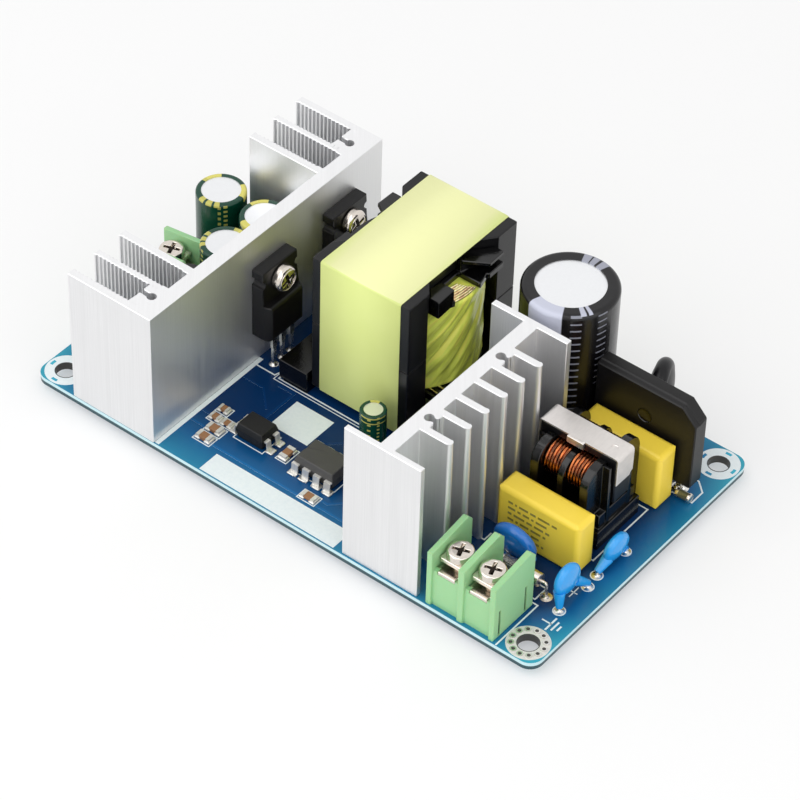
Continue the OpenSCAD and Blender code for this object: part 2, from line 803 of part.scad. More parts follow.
module choke_bobbin() {
  clear = 0.05;
  d = choke_core_depth + 2 * clear;
  top = choke_core_top - 1.2;
  color("#232224") place(choke_mid_x, choke_mid_y) difference() {
    union() {
      for (s = [0, 1]) mirror([s, 0, 0]) along_x(bobbin_half - end_flange, end_flange)
        choke_flange(choke_depth, top, 3.6);
      along_x(-mid_flange / 2, mid_flange) choke_flange(choke_depth - 0.8, top - 0.8, 3.6);
      translate([0, 0, choke_axis]) along_x(-bobbin_half, 2 * bobbin_half) tube_outline();
      translate([-bobbin_half, -choke_depth / 2, 0]) cube([2 * bobbin_half, choke_depth, 2.4]);
      for (s = [0, 1]) mirror([s, 0, 0]) {
        translate([bobbin_half - 0.1, -choke_depth / 2 + 1.6, 0])
          cube([choke_end + 0.1, choke_depth - 3.2, 4.4]);
        translate([bobbin_half - 0.1, -choke_depth / 2 + 2.6, 4.3])
          cube([choke_end - 0.5, choke_depth - 5.2, 3.2]);
        for (y = [-1, 1]) translate([bobbin_half - 0.1, y * (choke_core_depth / 2 + 0.8) - 0.35, 4])
          cube([choke_end - 0.3, 0.7, choke_axis + choke_core_height / 2 - 5.6]);
      }
    }
    for (z = [choke_axis - choke_core_height / 2, choke_core_top - choke_leg])
      translate([-choke_length, -d / 2, z - clear])
        cube([2 * choke_length, d, choke_leg + 2 * clear]);
    translate([-choke_length, -d / 2, choke_axis - choke_center_leg / 2 - clear])
      cube([2 * choke_length, d, choke_center_leg + 2 * clear]);
  }
}

// One closed turn of wire around the X axis
module wire_turn(w, h, r, wire) {
  rotate([90, 0, 90]) {
    for (x = [-1, 1]) translate([x * w / 2, -h / 2 + r, 0])
      rotate([-90, 0, 0]) cylinder(h = h - 2 * r, d = wire, $fn = 16);
    for (y = [-1, 1]) translate([-w / 2 + r, y * h / 2, 0])
      rotate([0, 90, 0]) cylinder(h = w - 2 * r, d = wire, $fn = 16);
    for (i = [0 : 3]) rotate(i * 90)
      translate([(i % 2 == 0 ? w : h) / 2 - r, (i % 2 == 0 ? h : w) / 2 - r, 0])
        rotate_extrude(angle = 90, $fn = 24) translate([r, 0]) circle(d = wire, $fn = 16);
  }
}

// Coil in the section that starts at x = start
module choke_coil(start) {
  turns = 6;
  pitch = section_width / turns;
  wire = pitch - 0.02;
  color("#d98a4e") place(choke_mid_x, choke_mid_y, choke_axis) {
    for (i = [0 : turns - 1]) translate([start + (i + 0.5) * pitch, 0, 0])
      wire_turn(coil_y, coil_h, coil_round, wire);
    translate([start + 0.05, 0, 0]) rotate([90, 0, 90]) linear_extrude(section_width - 0.1)
      difference() {
        rounded_outline(coil_y, coil_h, coil_round);
        tube_outline();
      }
  }
}

// The two windings lie side by side, one on each side of the middle flange
module choke_winding_front() { choke_coil(end_flange - bobbin_half); }
module choke_winding_rear() { choke_coil(mid_flange / 2); }

// Spring strap over the core, its ends bent down with round corners
module choke_clip() {
  t = 0.4;
  bend = 0.8;
  half = choke_length / 2;
  top = choke_core_top + t;
  low = choke_axis - 0.7;
  w = choke_core_depth + 0.2;
  color("#bdbab6") place(choke_mid_x, choke_mid_y) difference() {
    union() {
      along_y(-w / 2, w) difference() {
        union() {
          translate([-half - t, low]) square([2 * half + 2 * t, top - bend - low]);
          translate([bend - half - t, low]) square([2 * half + 2 * t - 2 * bend, top - low]);
          for (s = [-1, 1]) translate([s * (half + t - bend), top - bend]) circle(bend);
        }
        translate([-half, low - 1]) square([2 * half, top - t - low + 1]);
      }
      translate([-2.2, -w / 2 - 0.5, top - 1.6]) cube([3.6, 0.5, 1.5]);
      translate([-2.2, -w / 2 - 0.3, top - 0.5]) cube([3.6, 0.5, 0.4]);
    }
    for (s = [-1, 1]) translate([s * (half + t / 2), w / 2, low])
      rotate([0, 90, 0]) cylinder(h = 2 * t, r = 0.9, center = true);
    translate([half - 2.2, 0, top - 0.15]) cylinder(h = 1, r = 0.7);
  }
}

module choke_pins() {
  color("#c9cbcc") leads(choke_pin_list, 0);
}

// Screw terminals: shapes drawn from the front left corner, wire entry towards -Y

module at_terminals(which) {
  if (which != 1) place(input_terminal_x, 0.4) children();
  if (which != 0)
    place(output_terminal_x, output_terminal_y + terminal_width / 2) rotate(-90) children();
}

wall = 1.2;
floor_z = 8;
screw_y = 4.6;
screw_shank = 1.4;

module terminal_body() {
  w = terminal_width;
  h = terminal_height;
  d = terminal_depth;
  difference() {
    union() {
      for (x = [0, w / 2 - 0.7, w - wall]) along_x(x, x > 0 && x < w - 2 ? 1.4 : wall)
        polygon([[0, 0], [d, 0], [d, h - 1.5], [d - 1.4, h], [0, h - 1.5]]);
      translate([0, 0.5, 0]) cube([w, d - 3, floor_z]);
      translate([0, 0.5, 0]) cube([w, 0.9, floor_z + 0.6]);
    }
    for (s = [-1, 1]) translate([w / 2 + s * terminal_pitch / 2, 0, 0]) {
      translate([-2, -1, floor_z]) cube([4, 3, 2]);
      translate([0, screw_y, 3]) cylinder(h = 6, r = screw_shank + 0.1);
    }
    for (y = [1.4, d - 2.7], x = [-1, w - 0.35]) translate([x, y, 0.4]) cube([1.35, 0.6, 6.2]);
  }
}

module input_terminal() {
  color("#8ccb8a") at_terminals(0) terminal_body();
}

module output_terminal() {
  color("#8ccb8a") at_terminals(1) terminal_body();
}

module at_screws() {
  at_terminals(2) for (s = [-1, 1])
    translate([terminal_width / 2 + s * terminal_pitch / 2, screw_y, 0]) children();
}

module terminal_contacts() {
  color("#cfcac2") {
    at_screws() difference() {
      union() {
        translate([-1.9, 0.5 - screw_y, floor_z]) cube([3.8, 1.5, 0.8]);
        translate([-2.5, 1.4 - screw_y, floor_z]) cube([5, 7, 0.8]);
      }
      translate([0, 0, floor_z - 1]) cylinder(h = 3, r = screw_shank + 0.05);
    }
    leads(terminal_pin_list, 0);
  }
}

module terminal_clamps() {
  color("#cfcac2") at_screws() difference() {
    translate([0, 0, floor_z + 2]) rounded_box_flat(5.4, 5.4, 0.9, 0.5);
    translate([0, 0, floor_z]) cylinder(h = 4, r = 1.55);
  }
}

module rounded_box_flat(w, d, h, r) {
  linear_extrude(h) rounded_outline(w, d, r);
}

// Pan head with a crossed recess, resting on z = 0
module pan_head(r, h, slot) {
  difference() {
    rotate_extrude() {
      square([r, h * 0.5]);
      square([r * 0.8, h]);
      intersection() {
        translate([r * 0.6, h * 0.5]) circle(r * 0.4, $fn = 32);
        square([r, h]);
      }
    }
    for (a = [20, 110]) rotate(a) translate([-r * 0.62, -slot / 2, h * 0.45])
      cube([r * 1.24, slot, h]);
  }
}

module terminal_screws() {
  color("#cfcac2") at_screws() {
    translate([0, 0, floor_z + 2.9]) pan_head(2.6, 1.5, 0.7);
    translate([0, 0, 4]) cylinder(h = floor_z + 2.9 - 3.5, r = screw_shank);
  }
}

// Power devices

// Body standing on z = 0 against the plane x = 0, facing +X
module device_body() {
  t = device_thickness;
  h = device_height;
  difference() {
    intersection() {
      along_y(-device_width / 2, device_width) polygon([
        [0, 0], [t - 0.7, 0], [t, 0.7], [t, h - 8.3], [t - 0.4, h - 7.8],
        [2.9, h - 7.8], [2.7, h], [0, h]
      ]);
      translate([0, 0, 0]) linear_extrude(h)
        polygon([
          [0, -device_width / 2], [3.2, -device_width / 2], [t, 0.6 - device_width / 2],
          [t, device_width / 2 - 0.6], [3.2, device_width / 2], [0, device_width / 2]
        ]);
    }
    translate([-1, 0, screw_z - device_z]) rotate([0, 90, 0]) cylinder(h = 5, r = 1.6);
    for (s = [-1, 1]) translate([-1, s * device_width / 2, screw_z - device_z + 0.6])
      rotate([0, 90, 0]) cylinder(h = 6, r = 0.9);
  }
}

module rectifier_front() {
  color("#1d1c1e") place(output_face_x, device_front_y, device_z) device_body();
}

module rectifier_rear() {
  color("#1d1c1e") place(output_face_x, device_rear_y, device_z) device_body();
}

module switching_transistor() {
  color("#1d1c1e") place(web_x, transistor_y, device_z) mirror([1, 0, 0]) device_body();
}

module device_legs() {
  color("#c9cbcc") {
    leads(device_lead_list, device_z);
    for (l = device_lead_list) place(l[0] - 0.3, l[1] - 0.6, device_z - 3) cube([0.6, 1.2, 3]);
  }
}

module device_screw(plate) {
  rotate([0, 90, 0]) {
    pan_head(2.7, 1.9, 0.7);
    translate([0, 0, -plate - 2.7]) cylinder(h = plate + 3, r = 1.5);
  }
}

module device_screws() {
  color("#cfcac2") {
    for (y = [device_front_y, device_rear_y])
      place(output_face_x + 2.86, y, screw_z) device_screw(output_sink_plate);
    place(web_x - 2.86, transistor_y, screw_z) mirror([1, 0, 0]) device_screw(web_thickness);
  }
}

// Low parts in front

function shoulder(h) = h * 0.55 + 0.3;

module chip_body(w, d, h, e) {
  m = shoulder(h) - 0.3;
  intersection() {
    along_y(-d / 2, d) polygon([
      [e - w / 2, 0.1], [w / 2 - e, 0.1], [w / 2, m], [w / 2, m + 0.3],
      [w / 2 - e, h], [e - w / 2, h], [-w / 2, m + 0.3], [-w / 2, m]
    ]);
    along_x(-w / 2, w) polygon([
      [e - d / 2, 0.1], [d / 2 - e, 0.1], [d / 2, m], [d / 2, m + 0.3],
      [d / 2 - e, h], [e - d / 2, h], [-d / 2, m + 0.3], [-d / 2, m]
    ]);
  }
}

// Bent leg leaving the plane x = 0 towards +X at the given height
module gull_leg(height, reach, width) {
  along_y(-width / 2, width) polygon([
    [0, height], [reach * 0.45, height], [reach * 0.6, 0.3], [reach * 0.65, 0.25],
    [reach, 0.25], [reach, 0], [reach * 0.45, 0], [reach * 0.35, height - 0.3],
    [0, height - 0.3]
  ]);
}

module optocoupler() {
  color("#232022") place(coupler_x, 13.4) chip_body(6.4, 4.9, 3.6, 0.35);
}

module controller_chip() {
  color("#232022") place(controller_x, 14.4) difference() {
    chip_body(9.2, 6.4, 3.7, 0.45);
    translate([-4.7, 0, 3.2]) cylinder(h = 1, r = 0.8);
  }
}

module chip_legs() {
  color("#c9cbcc") {
    for (s = [0, 1], y = [-1.27, 1.27]) place(coupler_x, 13.4)
      mirror([s, 0, 0]) translate([3.2, y, 0]) gull_leg(shoulder(3.6), 1.5, 1.2);
    for (s = [0, 1], i = [-1.5 : 1.5]) place(controller_x, 14.4)
      mirror([0, s, 0]) translate([i * 2.54, -3.2, 0]) rotate(-90) gull_leg(shoulder(3.7), 1.4, 1.5);
  }
}

// Chip parts: x from the output heatsink, y, length, width, height and turn
chip_list = [
  [6.5, 7, 3.1, 1.6, 1, 0], [6.6, 9.8, 3.1, 1.6, 1, 0], [4.6, 12.4, 2.1, 1.3, 0.9, 0],
  [7.3, 12.6, 2.1, 1.3, 0.6, 0], [4.5, 15, 2, 1.3, 0.9, 0], [21.1, 13.4, 3.1, 1.6, 1, 90],
  [31.3, 7.4, 3.1, 1.6, 0.7, 0]
];

module chip_bodies() {
  color("#b59a78") for (c = chip_list) place(output_face_x + c[0], c[1]) rotate(c[5])
    translate([-c[2] * 0.26, -c[3] / 2, 0.05]) cube([c[2] * 0.52, c[3], c[4] - 0.1]);
}

module chip_ends() {
  color("#d8dadb") for (c = chip_list) place(output_face_x + c[0], c[1]) rotate(c[5])
    for (s = [-1, 1]) translate([s * c[2] * 0.38, 0, 0])
      translate([-c[2] * 0.12, -c[3] / 2, 0]) cube([c[2] * 0.24, c[3], c[4]]);
}

module fuse() {
  z = 3.2;
  x0 = row_x + 6.9;
  color("#cfcac2") place(0, fuse_y) {
    rod([x0, 0, z], [x0 + 7.6, 0, z], 1.3, 1.3);
    for (x = [x0, x0 + 5.9]) rod([x, 0, z], [x + 1.7, 0, z], 1.5, 1.5);
    for (l = fuse_list) {
      s = l[0] < x0 ? -1 : 1;
      x1 = s < 0 ? x0 : x0 + 7.6;
      bend = [x1 + s * 0.8, 0, z];
      rod([x1 - s * 0.2, 0, z], bend, 0.3, 0.3);
      translate(bend) sphere(0.34);
      rod(bend, [l[0], 0, 0.8], 0.3, 0.3);
      translate([l[0], 0, 0.8]) sphere(0.34);
      rod([l[0], 0, 0.8], [l[0], 0, -board_top], 0.3, 0.3);
    }
  }
}

module output_choke() {
  color("#2a2a2c") place(choke_drum_x, choke_drum_y) {
    cylinder(h = 17, r = choke_drum_radius);
    translate([0, 0, 17]) cylinder(h = 0.6, r = choke_drum_radius - 0.7);
  }
  color("#c9cbcc") leads(drum_list, 0);
}

module glass_diode() {
  color("#b8b2ae") place(diode_x, bridge_y - 0.1, 1) {
    rod([-1.6, 0, 0], [1.6, 0, 0], 0.9, 0.9);
    for (x = [-1.6, 0.9]) rod([x, 0, 0], [x + 0.7, 0, 0], 1, 1);
  }
}

board();
solder_joints();
output_heatsink();
input_heatsink();
heatsink_pins();
core_upper();
core_lower();
transformer_bobbin();
transformer_winding();
transformer_strands();
core_tape();
transformer_pins();
bulk_can();
bulk_sleeve();
bulk_bung();
output_can_1();
output_can_2();
output_can_3();
output_sleeve_1();
output_sleeve_2();
output_sleeve_3();
supply_can();
supply_sleeve();
small_bungs();
capacitor_leads();
bridge_rectifier();
bridge_leads();
film_capacitor_front();
film_capacitor_rear();
film_leads();
y_capacitor_front();
y_capacitor_rear();
varistor();
inrush_disc();
disc_leads();
choke_core_left();
choke_core_right();
choke_bobbin();
choke_winding_front();
choke_winding_rear();
choke_clip();
choke_pins();
input_terminal();
output_terminal();
terminal_contacts();
terminal_clamps();
terminal_screws();
rectifier_front();
rectifier_rear();
switching_transistor();
device_legs();
device_screws();
optocoupler();
controller_chip();
chip_legs();
chip_bodies();
chip_ends();
fuse();
output_choke();
glass_diode();
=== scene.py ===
from math import cos, pi, radians, sin

import bmesh
import bpy
from bpy.props import FloatProperty, FloatVectorProperty, PointerProperty
from bpy.types import Operator, Panel, PropertyGroup
from mathutils import Euler, Matrix, Vector, noise as turbulence


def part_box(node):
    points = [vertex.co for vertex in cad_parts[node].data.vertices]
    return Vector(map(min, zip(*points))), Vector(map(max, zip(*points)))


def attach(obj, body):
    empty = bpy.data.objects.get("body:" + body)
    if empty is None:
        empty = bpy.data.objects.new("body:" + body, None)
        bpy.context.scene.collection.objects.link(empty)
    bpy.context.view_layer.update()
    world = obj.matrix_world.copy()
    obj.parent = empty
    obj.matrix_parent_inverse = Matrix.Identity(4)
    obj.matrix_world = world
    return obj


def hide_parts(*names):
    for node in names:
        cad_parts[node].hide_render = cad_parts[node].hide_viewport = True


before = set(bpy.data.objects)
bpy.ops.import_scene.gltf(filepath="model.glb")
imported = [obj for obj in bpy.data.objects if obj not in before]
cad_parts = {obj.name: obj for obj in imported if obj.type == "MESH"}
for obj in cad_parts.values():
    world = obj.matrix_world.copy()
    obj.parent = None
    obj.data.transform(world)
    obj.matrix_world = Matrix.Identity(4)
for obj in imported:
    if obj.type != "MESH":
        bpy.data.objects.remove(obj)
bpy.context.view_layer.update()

bl_info = {
    "name": "Open Frame Power Supply",
    "version": (1, 0, 0),
    "blender": (4, 5, 0),
    "location": "3D View > Sidebar > Power Supply",
    "description": "Dresses the open frame power supply with printed, wound and plated detail",
    "category": "Object",
}

MM = 0.001
BOARD_LOW, BOARD_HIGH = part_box("board")
# Millimetres: the board's size, and how far in its mounting holes stand
BOARD_LONG, BOARD_WIDE, BOARD_THICK = [(BOARD_HIGH[k] - BOARD_LOW[k]) / MM for k in range(3)]
HOLE_INSET = 4.25


def spot(x, y, z=0.0):
    """A point in metres from millimetres right, back and up of the board's front left corner."""
    return Vector((BOARD_LOW.x + x * MM, BOARD_LOW.y + y * MM, BOARD_HIGH.z + z * MM))


def on_board(place):
    """Millimetres right and back of the board's front left corner, from a point in metres."""
    return (place[0] - BOARD_LOW.x) / MM, (place[1] - BOARD_LOW.y) / MM


def middle(node):
    """The middle of a CAD node's box."""
    low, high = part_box(node)
    return (low + high) / 2


# Middles of the mounting holes: three with a plain land, and the front right one with vias
*PLAIN_HOLES, VIA_HOLE = [spot(x, y) for x, y in (
    (BOARD_LONG - HOLE_INSET, BOARD_WIDE - HOLE_INSET), (HOLE_INSET, BOARD_WIDE - HOLE_INSET),
    (HOLE_INSET, HOLE_INSET), (BOARD_LONG - HOLE_INSET, HOLE_INSET))]


# Colours and settings


def linear(code):
    """An sRGB hex colour as linear values."""
    steps = [int(code[i : i + 2], 16) / 255 for i in (1, 3, 5)]
    return (*[c / 12.92 if c <= 0.04045 else ((c + 0.055) / 1.055) ** 2.4 for c in steps], 1.0)


def colour(name, thing, code):
    return FloatVectorProperty(
        name=name, description="Colour of the " + thing, subtype="COLOR", size=4,
        min=0.0, max=1.0, default=linear(code),
    )


def number(name, description, default, least=0.0, **more):
    return FloatProperty(name=name, description=description, default=default, min=least, **more)


def length(name, description, millimetres):
    return number(name, description, millimetres * MM, subtype="DISTANCE", unit="LENGTH",
                  soft_max=0.1)


class BoardSettings(PropertyGroup):
    # The three mask colours paint shade and light: the mask is deepest in the middle of the board,
    # where tall parts shade it, and paler towards its edges and corners
    mask: colour("Solder Mask", "mask in the middle of the board", "#08305e")
    near_edge_mask_painted_light: colour("Mask Near Edge", "mask towards the board's edges", "#145f96")
    corner_mask_painted_light: colour("Mask At Corner", "mask at the board's corners", "#3aa9bf")
    laminate: colour("Laminate", "sawn edge of the board", "#3d5a62")
    rim: colour("Rim", "pale line along the top of the sawn edge", "#c4e2e8")
    track: number("Track Lift", "How much lighter the mask is over copper", 1.3, 1.0)
    ink: colour("Ink", "printed outlines", "#e8f0f2")
    tin: colour("Tin", "tinned lands and solder", "#e6e4df")
    line: length("Line Width", "Width of the printed outlines", 0.3)
    land: length("Hole Land", "Radius of the tinned ring round a mounting hole", 4.1)


class HeatsinkSettings(PropertyGroup):
    aluminium: colour("Aluminium", "extruded heatsinks", "#efeff0")


class TransformerSettings(PropertyGroup):
    tape: colour("Outer Tape", "tape round the core", "#f0f2b4")
    winding_tape: colour("Winding Tape", "tape over the winding", "#eefa68")
    ferrite: colour("Ferrite", "ferrite core", "#0d0d0f")
    phenolic: colour("Phenolic", "moulded bobbins", "#070708")
    copper: colour("Choke Wire", "enamelled wire on the choke", "#b4632f")
    strand: colour("Wire Ends", "transformer's paler wire ends", "#ffdcac")


class CapacitorSettings(PropertyGroup):
    black_sleeve: colour("Black Sleeve", "bulk capacitor's sleeve", "#0b0a0d")
    stripe: colour("Stripe", "bulk capacitor's polarity stripe", "#c3c6d6")
    green_sleeve: colour("Green Sleeve", "small capacitors' sleeves", "#07402f")
    gold_print: colour("Gold Print", "small capacitors' print", "#d8d069")
    can: colour("Can", "bare can tops", "#f0f1f3")
    film: colour("Film Case", "film capacitors", "#ffdf4a")
    film_print: colour("Film Print", "bars printed on the film capacitors", "#8d7a1c")
    blue: colour("Blue Dip", "two small discs", "#22a0ee")
    deep_blue: colour("Deep Blue Dip", "larger disc", "#1271cc")
    black_dip: colour("Black Dip", "inrush limiter", "#0d0c10")


class TerminalSettings(PropertyGroup):
    body: colour("Body", "terminal bodies", "#9bcf96")
    nickel: colour("Nickel", "screws and clamps", "#e6ddd3")


class ComponentSettings(PropertyGroup):
    epoxy: colour("Epoxy", "moulded semiconductor bodies", "#121112")
    ceramic: colour("Ceramic", "chip parts", "#9b6f4a")
    chip: colour("Chip Epoxy", "controller chip's body", "#474645")
    recess: colour("Recess", "shaded recess in the screw heads", "#37302c")
    steel: colour("Clip Steel", "choke's clip", "#e9e4e0")


class StageSettings(PropertyGroup):
    floor: colour("Floor", "floor", "#f2f2f2")
    sky: colour("Sky", "light from all round", "#ffffff")
    key: number("Key Light", "Power of the large soft lamp", 4.3, unit="POWER")
    fill: number("Fill Light", "Power of the weaker lamp", 1.8, unit="POWER")
    surround: number("Surround", "Strength of the light from all round", 0.72)


# Materials

# What a kind of node is given in this file, unless a call says otherwise
USUAL = {"Mix": {"data_type": "RGBA"}, "TexNoise": {"Roughness": 0.55}}


def add(m, kind, *values, stops=(), **named):
    """Adds a node to a material or world, and returns the first of its outputs in use.

    The values fill its inputs in use, in order, and a name with a capital letter is an input
    too: each takes a number, a colour or another node's output. Other names are settings, and
    the stops are a colour ramp's. So a noise texture is given its place, scale, detail and
    roughness, and a range its value, where that comes from and where it goes."""
    node = m.node_tree.nodes.new("ShaderNode" + kind)
    named = {**USUAL.get(kind, {}), **named}
    for name, value in named.items():
        if name[0].islower():
            setattr(node, name, value)
    for i, (place, tone) in enumerate(stops):
        stop = node.color_ramp.elements[i] if i < 2 else node.color_ramp.elements.new(place)
        stop.position, stop.color = place, tone
    given = [(node.inputs[name], value) for name, value in named.items() if name[0].isupper()]
    for socket, value in (*given, *zip([s for s in node.inputs if s.enabled], values)):
        if isinstance(value, bpy.types.NodeSocket):
            m.node_tree.links.new(value, socket)
        else:
            socket.default_value = value
    return next(s for s in node.outputs if s.enabled)


def new_material(name, **constants):
    """A material whose shader's own sockets take the constants, and its Object coordinates."""
    m = bpy.data.materials.new(name)
    m.use_nodes = True
    for key, value in constants.items():
        m.node_tree.nodes["Principled BSDF"].inputs[key.replace("_", " ")].default_value = value
    return m, add(m, "TexCoord").node.outputs["Object"]


def surface(m, tone, rough=None, relief=None, depth=0.0):
    """Gives a material its colour, roughness and relief, whose depth is in millimetres.

    A roughness given as a range follows the relief."""
    if isinstance(rough, tuple):
        rough = add(m, "MapRange", relief, 0.0, 1.0, *rough)
    normal = None if relief is None else add(m, "Bump", 1.0, depth * MM, Height=relief)
    shader = m.node_tree.nodes["Principled BSDF"]
    for socket, output in (("Base Color", tone), ("Roughness", rough), ("Normal", normal)):
        if output is not None:
            m.node_tree.links.new(output, shader.inputs[socket])
    return m


def per(*sizes):
    """The pattern scale that makes a blob measure these millimetres along each axis."""
    scales = tuple(1 / (size * MM) for size in sizes)
    return scales if len(scales) > 1 else scales[0]


def shade(value, factor):
    return (*[min(1.0, c * factor) for c in value[:3]], 1.0)


def facing_up(m):
    """1 on faces that look straight up or down, 0 on upright ones."""
    normal = add(m, "NewGeometry").node.outputs["Normal"]
    up = add(m, "SeparateXYZ", normal).node.outputs["Z"]
    return add(m, "MapRange", add(m, "Math", up, operation="ABSOLUTE"), 0.7, 0.8)


def extruded_aluminium(base):
    # Mill-finish extruded aluminium: fine die lines run the way it was pushed, so the sides
    # streak from top to bottom, and the sawn top has slanting saw marks and is paler, partly
    # from its sawn finish and partly as a painted highlight on the faces that look up. The die
    # lines are drawn at 0.3 mm, coarser than real, so that they show.
    m, where = new_material("Extruded aluminium", Metallic=0.9)
    lines = add(m, "TexNoise", add(m, "Mapping", where, Scale=per(0.3, 0.3, 28)), 1.0, 4.0, 0.7)
    clouds = add(m, "TexNoise", add(m, "Mapping", where, Scale=per(9, 9, 14)), 1.0, 2.0)
    across = add(m, "Mapping", where, Rotation=(0, 0, radians(52)))
    saw = add(m, "TexNoise", add(m, "Mapping", across, Scale=per(14, 0.22, 1)), 1.0, 3.0, 0.6)
    top = facing_up(m)
    side = add(m, "ValToRGB", lines, stops=((0.34, shade(base, 0.87)), (0.66, base)))
    side = add(m, "Mix", clouds, side, shade(base, 0.9))
    # partly painted highlight: faces that look up get a paler range than the sides
    sawn = add(m, "Mix", saw, shade(base, 0.93), shade(base, 1.05))
    height = add(m, "Mix", top, lines, saw)
    return surface(m, add(m, "Mix", top, side, sawn),
                   add(m, "MapRange", height, 0.3, 0.7, 0.36, 0.5), height, 0.014)


def masked_laminate(s, name="Masked laminate", lift=1.0):
    # Glossy solder mask over woven glass laminate: wet-looking blue, with painted shade that
    # makes it deeper in the middle of the board, under the tall parts, and painted light that
    # makes it paler towards the edges and most at the corners; and a dark fibrous edge with a
    # pale band along its top.
    m, where = new_material(name, Roughness=0.24, Coat_Weight=0.06, Coat_Roughness=0.06,
                            Specular_IOR_Level=0.18)
    axes = add(m, "SeparateXYZ", where).node.outputs
    ends = []
    for axis, reach, band in (("X", BOARD_HIGH.x, 8 * MM), ("Y", BOARD_HIGH.y, 15 * MM)):
        away = add(m, "Math", axes[axis], operation="ABSOLUTE")
        ends.append(add(m, "MapRange", away, reach - band, reach))
    corner = add(m, "MapRange", add(m, "Math", *ends, operation="ADD"), 0.1, 1.6)
    # painted shade and light: the mask colour runs from deep in the middle to pale at the corners
    deep = shade(s.mask, lift)
    mask = add(m, "ValToRGB", corner, stops=(
        (0.0, deep), (0.3, shade(s.near_edge_mask_painted_light, lift)), (1.0, shade(s.corner_mask_painted_light, lift))))
    cloud = add(m, "TexNoise", where, per(14.0), 2.0)
    mask = add(m, "Mix", add(m, "MapRange", cloud, 0.0, 1.0, 0.0, 0.3), mask, deep)
    fibre = add(m, "TexNoise", add(m, "Mapping", where, Scale=per(0.7, 0.7, 0.14)), 1.0, 3.0)
    edge = add(m, "Mix", fibre, shade(s.laminate, 0.6), s.laminate)
    line = add(m, "MapRange", axes["Z"], BOARD_HIGH.z - 0.85 * MM, BOARD_HIGH.z - 0.7 * MM)
    edge = add(m, "Mix", line, edge, s.rim)
    weave = add(m, "TexNoise", where, per(0.9), 2.0)
    return surface(m, add(m, "Mix", facing_up(m), edge, mask), None, weave, 0.008)


def ink(base):
    # Screen-printed epoxy ink: matt and opaque, a little thin in places.
    m, where = new_material("Screen ink", Roughness=0.55)
    thin = add(m, "TexNoise", where, per(0.7), 4.0)
    return surface(m, add(m, "Mix", add(m, "MapRange", thin, 0.4, 0.8, 0.0, 0.16), base,
                          linear("#a9c6d4")))


def tin(base, rough=0.25, metal=1.0, name="Tin solder"):
    # Tin solder: bright, soft metal frozen with a faintly rippled skin.
    m, where = new_material(name, Metallic=metal)
    ripple = add(m, "TexNoise", where, per(0.7), 1.5)
    return surface(m, add(m, "Mix", ripple, shade(base, 0.85), base),
                   (rough * 0.7, rough * 1.3), ripple, 0.014)


def plated(name, base, rough=0.2, depth=0.004):
    # Nickel-plated steel: mirror bright with a warm cast and hair-fine wear.
    m, where = new_material(name, Metallic=1.0)
    wear = add(m, "TexNoise", add(m, "Mapping", where, Scale=per(0.5, 1.4, 0.8)), 1.0, 1.5)
    return surface(m, add(m, "Mix", wear, shade(base, 0.82), base),
                   (rough * 0.7, rough * 1.5), wear, depth)


def moulded(name, base, rough, grain, depth, variation=0.85, **constants):
    # Moulded plastic or a dipped coat: even colour, broken by the fine grain of the tool
    # or by the sag of the coat.
    m, where = new_material(name, **constants)
    skin = add(m, "TexNoise", where, per(grain), 4.0)
    cloud = add(m, "TexNoise", where, per(grain * 18), 2.0)
    return surface(m, add(m, "Mix", cloud, shade(base, variation), base),
                   (rough * 0.8, rough * 1.2), skin, depth)


def sleeve(node, base, mark, bands):
    # Shrunk vinyl sleeve: glossy, tight, slightly rippled. Each printed band is given by
    # the way it faces and its half width, both in degrees, the height where it starts, in
    # millimetres, or below the top where that is negative, and how well the ink covers. A
    # band of bars also has their spacing and the share of it that is printed.
    m, where = new_material("Shrunk vinyl sleeve", Roughness=0.26, Coat_Weight=0.12,
                            Coat_Roughness=0.1, Specular_IOR_Level=0.35)
    low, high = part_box(node)
    centre = middle(node)
    film = add(m, "TexNoise", where, per(2.2), 2.0)
    tone = add(m, "Mix", film, shade(base, 0.75), shade(base, 1.15))
    local = add(m, "Mapping", where, (-centre.x, -centre.y, -low.z))
    for aim, half, start, cover, *bars in bands:
        start += (high.z - low.z) / MM if start < 0 else 0.0
        turned = add(m, "Mapping", local, Rotation=(0, 0, -radians(aim)))
        x, y, z = add(m, "SeparateXYZ", turned).node.outputs
        side = add(m, "Math", add(m, "Math", y, x, operation="ARCTAN2"), operation="ABSOLUTE")
        inside = add(m, "MapRange", side, radians(half), radians(half + 1.0), cover, 0.0)
        limits = [add(m, "MapRange", z, start * MM, (start + 0.05) * MM)]
        if bars:
            pitch, share = bars
            step, wide = add(m, "Math", z, pitch * MM, operation="MODULO"), pitch * share
            limits.append(add(m, "MapRange", step, wide * MM, (wide + 0.04) * MM, 1.0, 0.0))
        for limit in limits:
            inside = add(m, "Math", inside, limit, operation="MULTIPLY")
        tone = add(m, "Mix", inside, tone, mark)
    return surface(m, tone, None, film, 0.04)


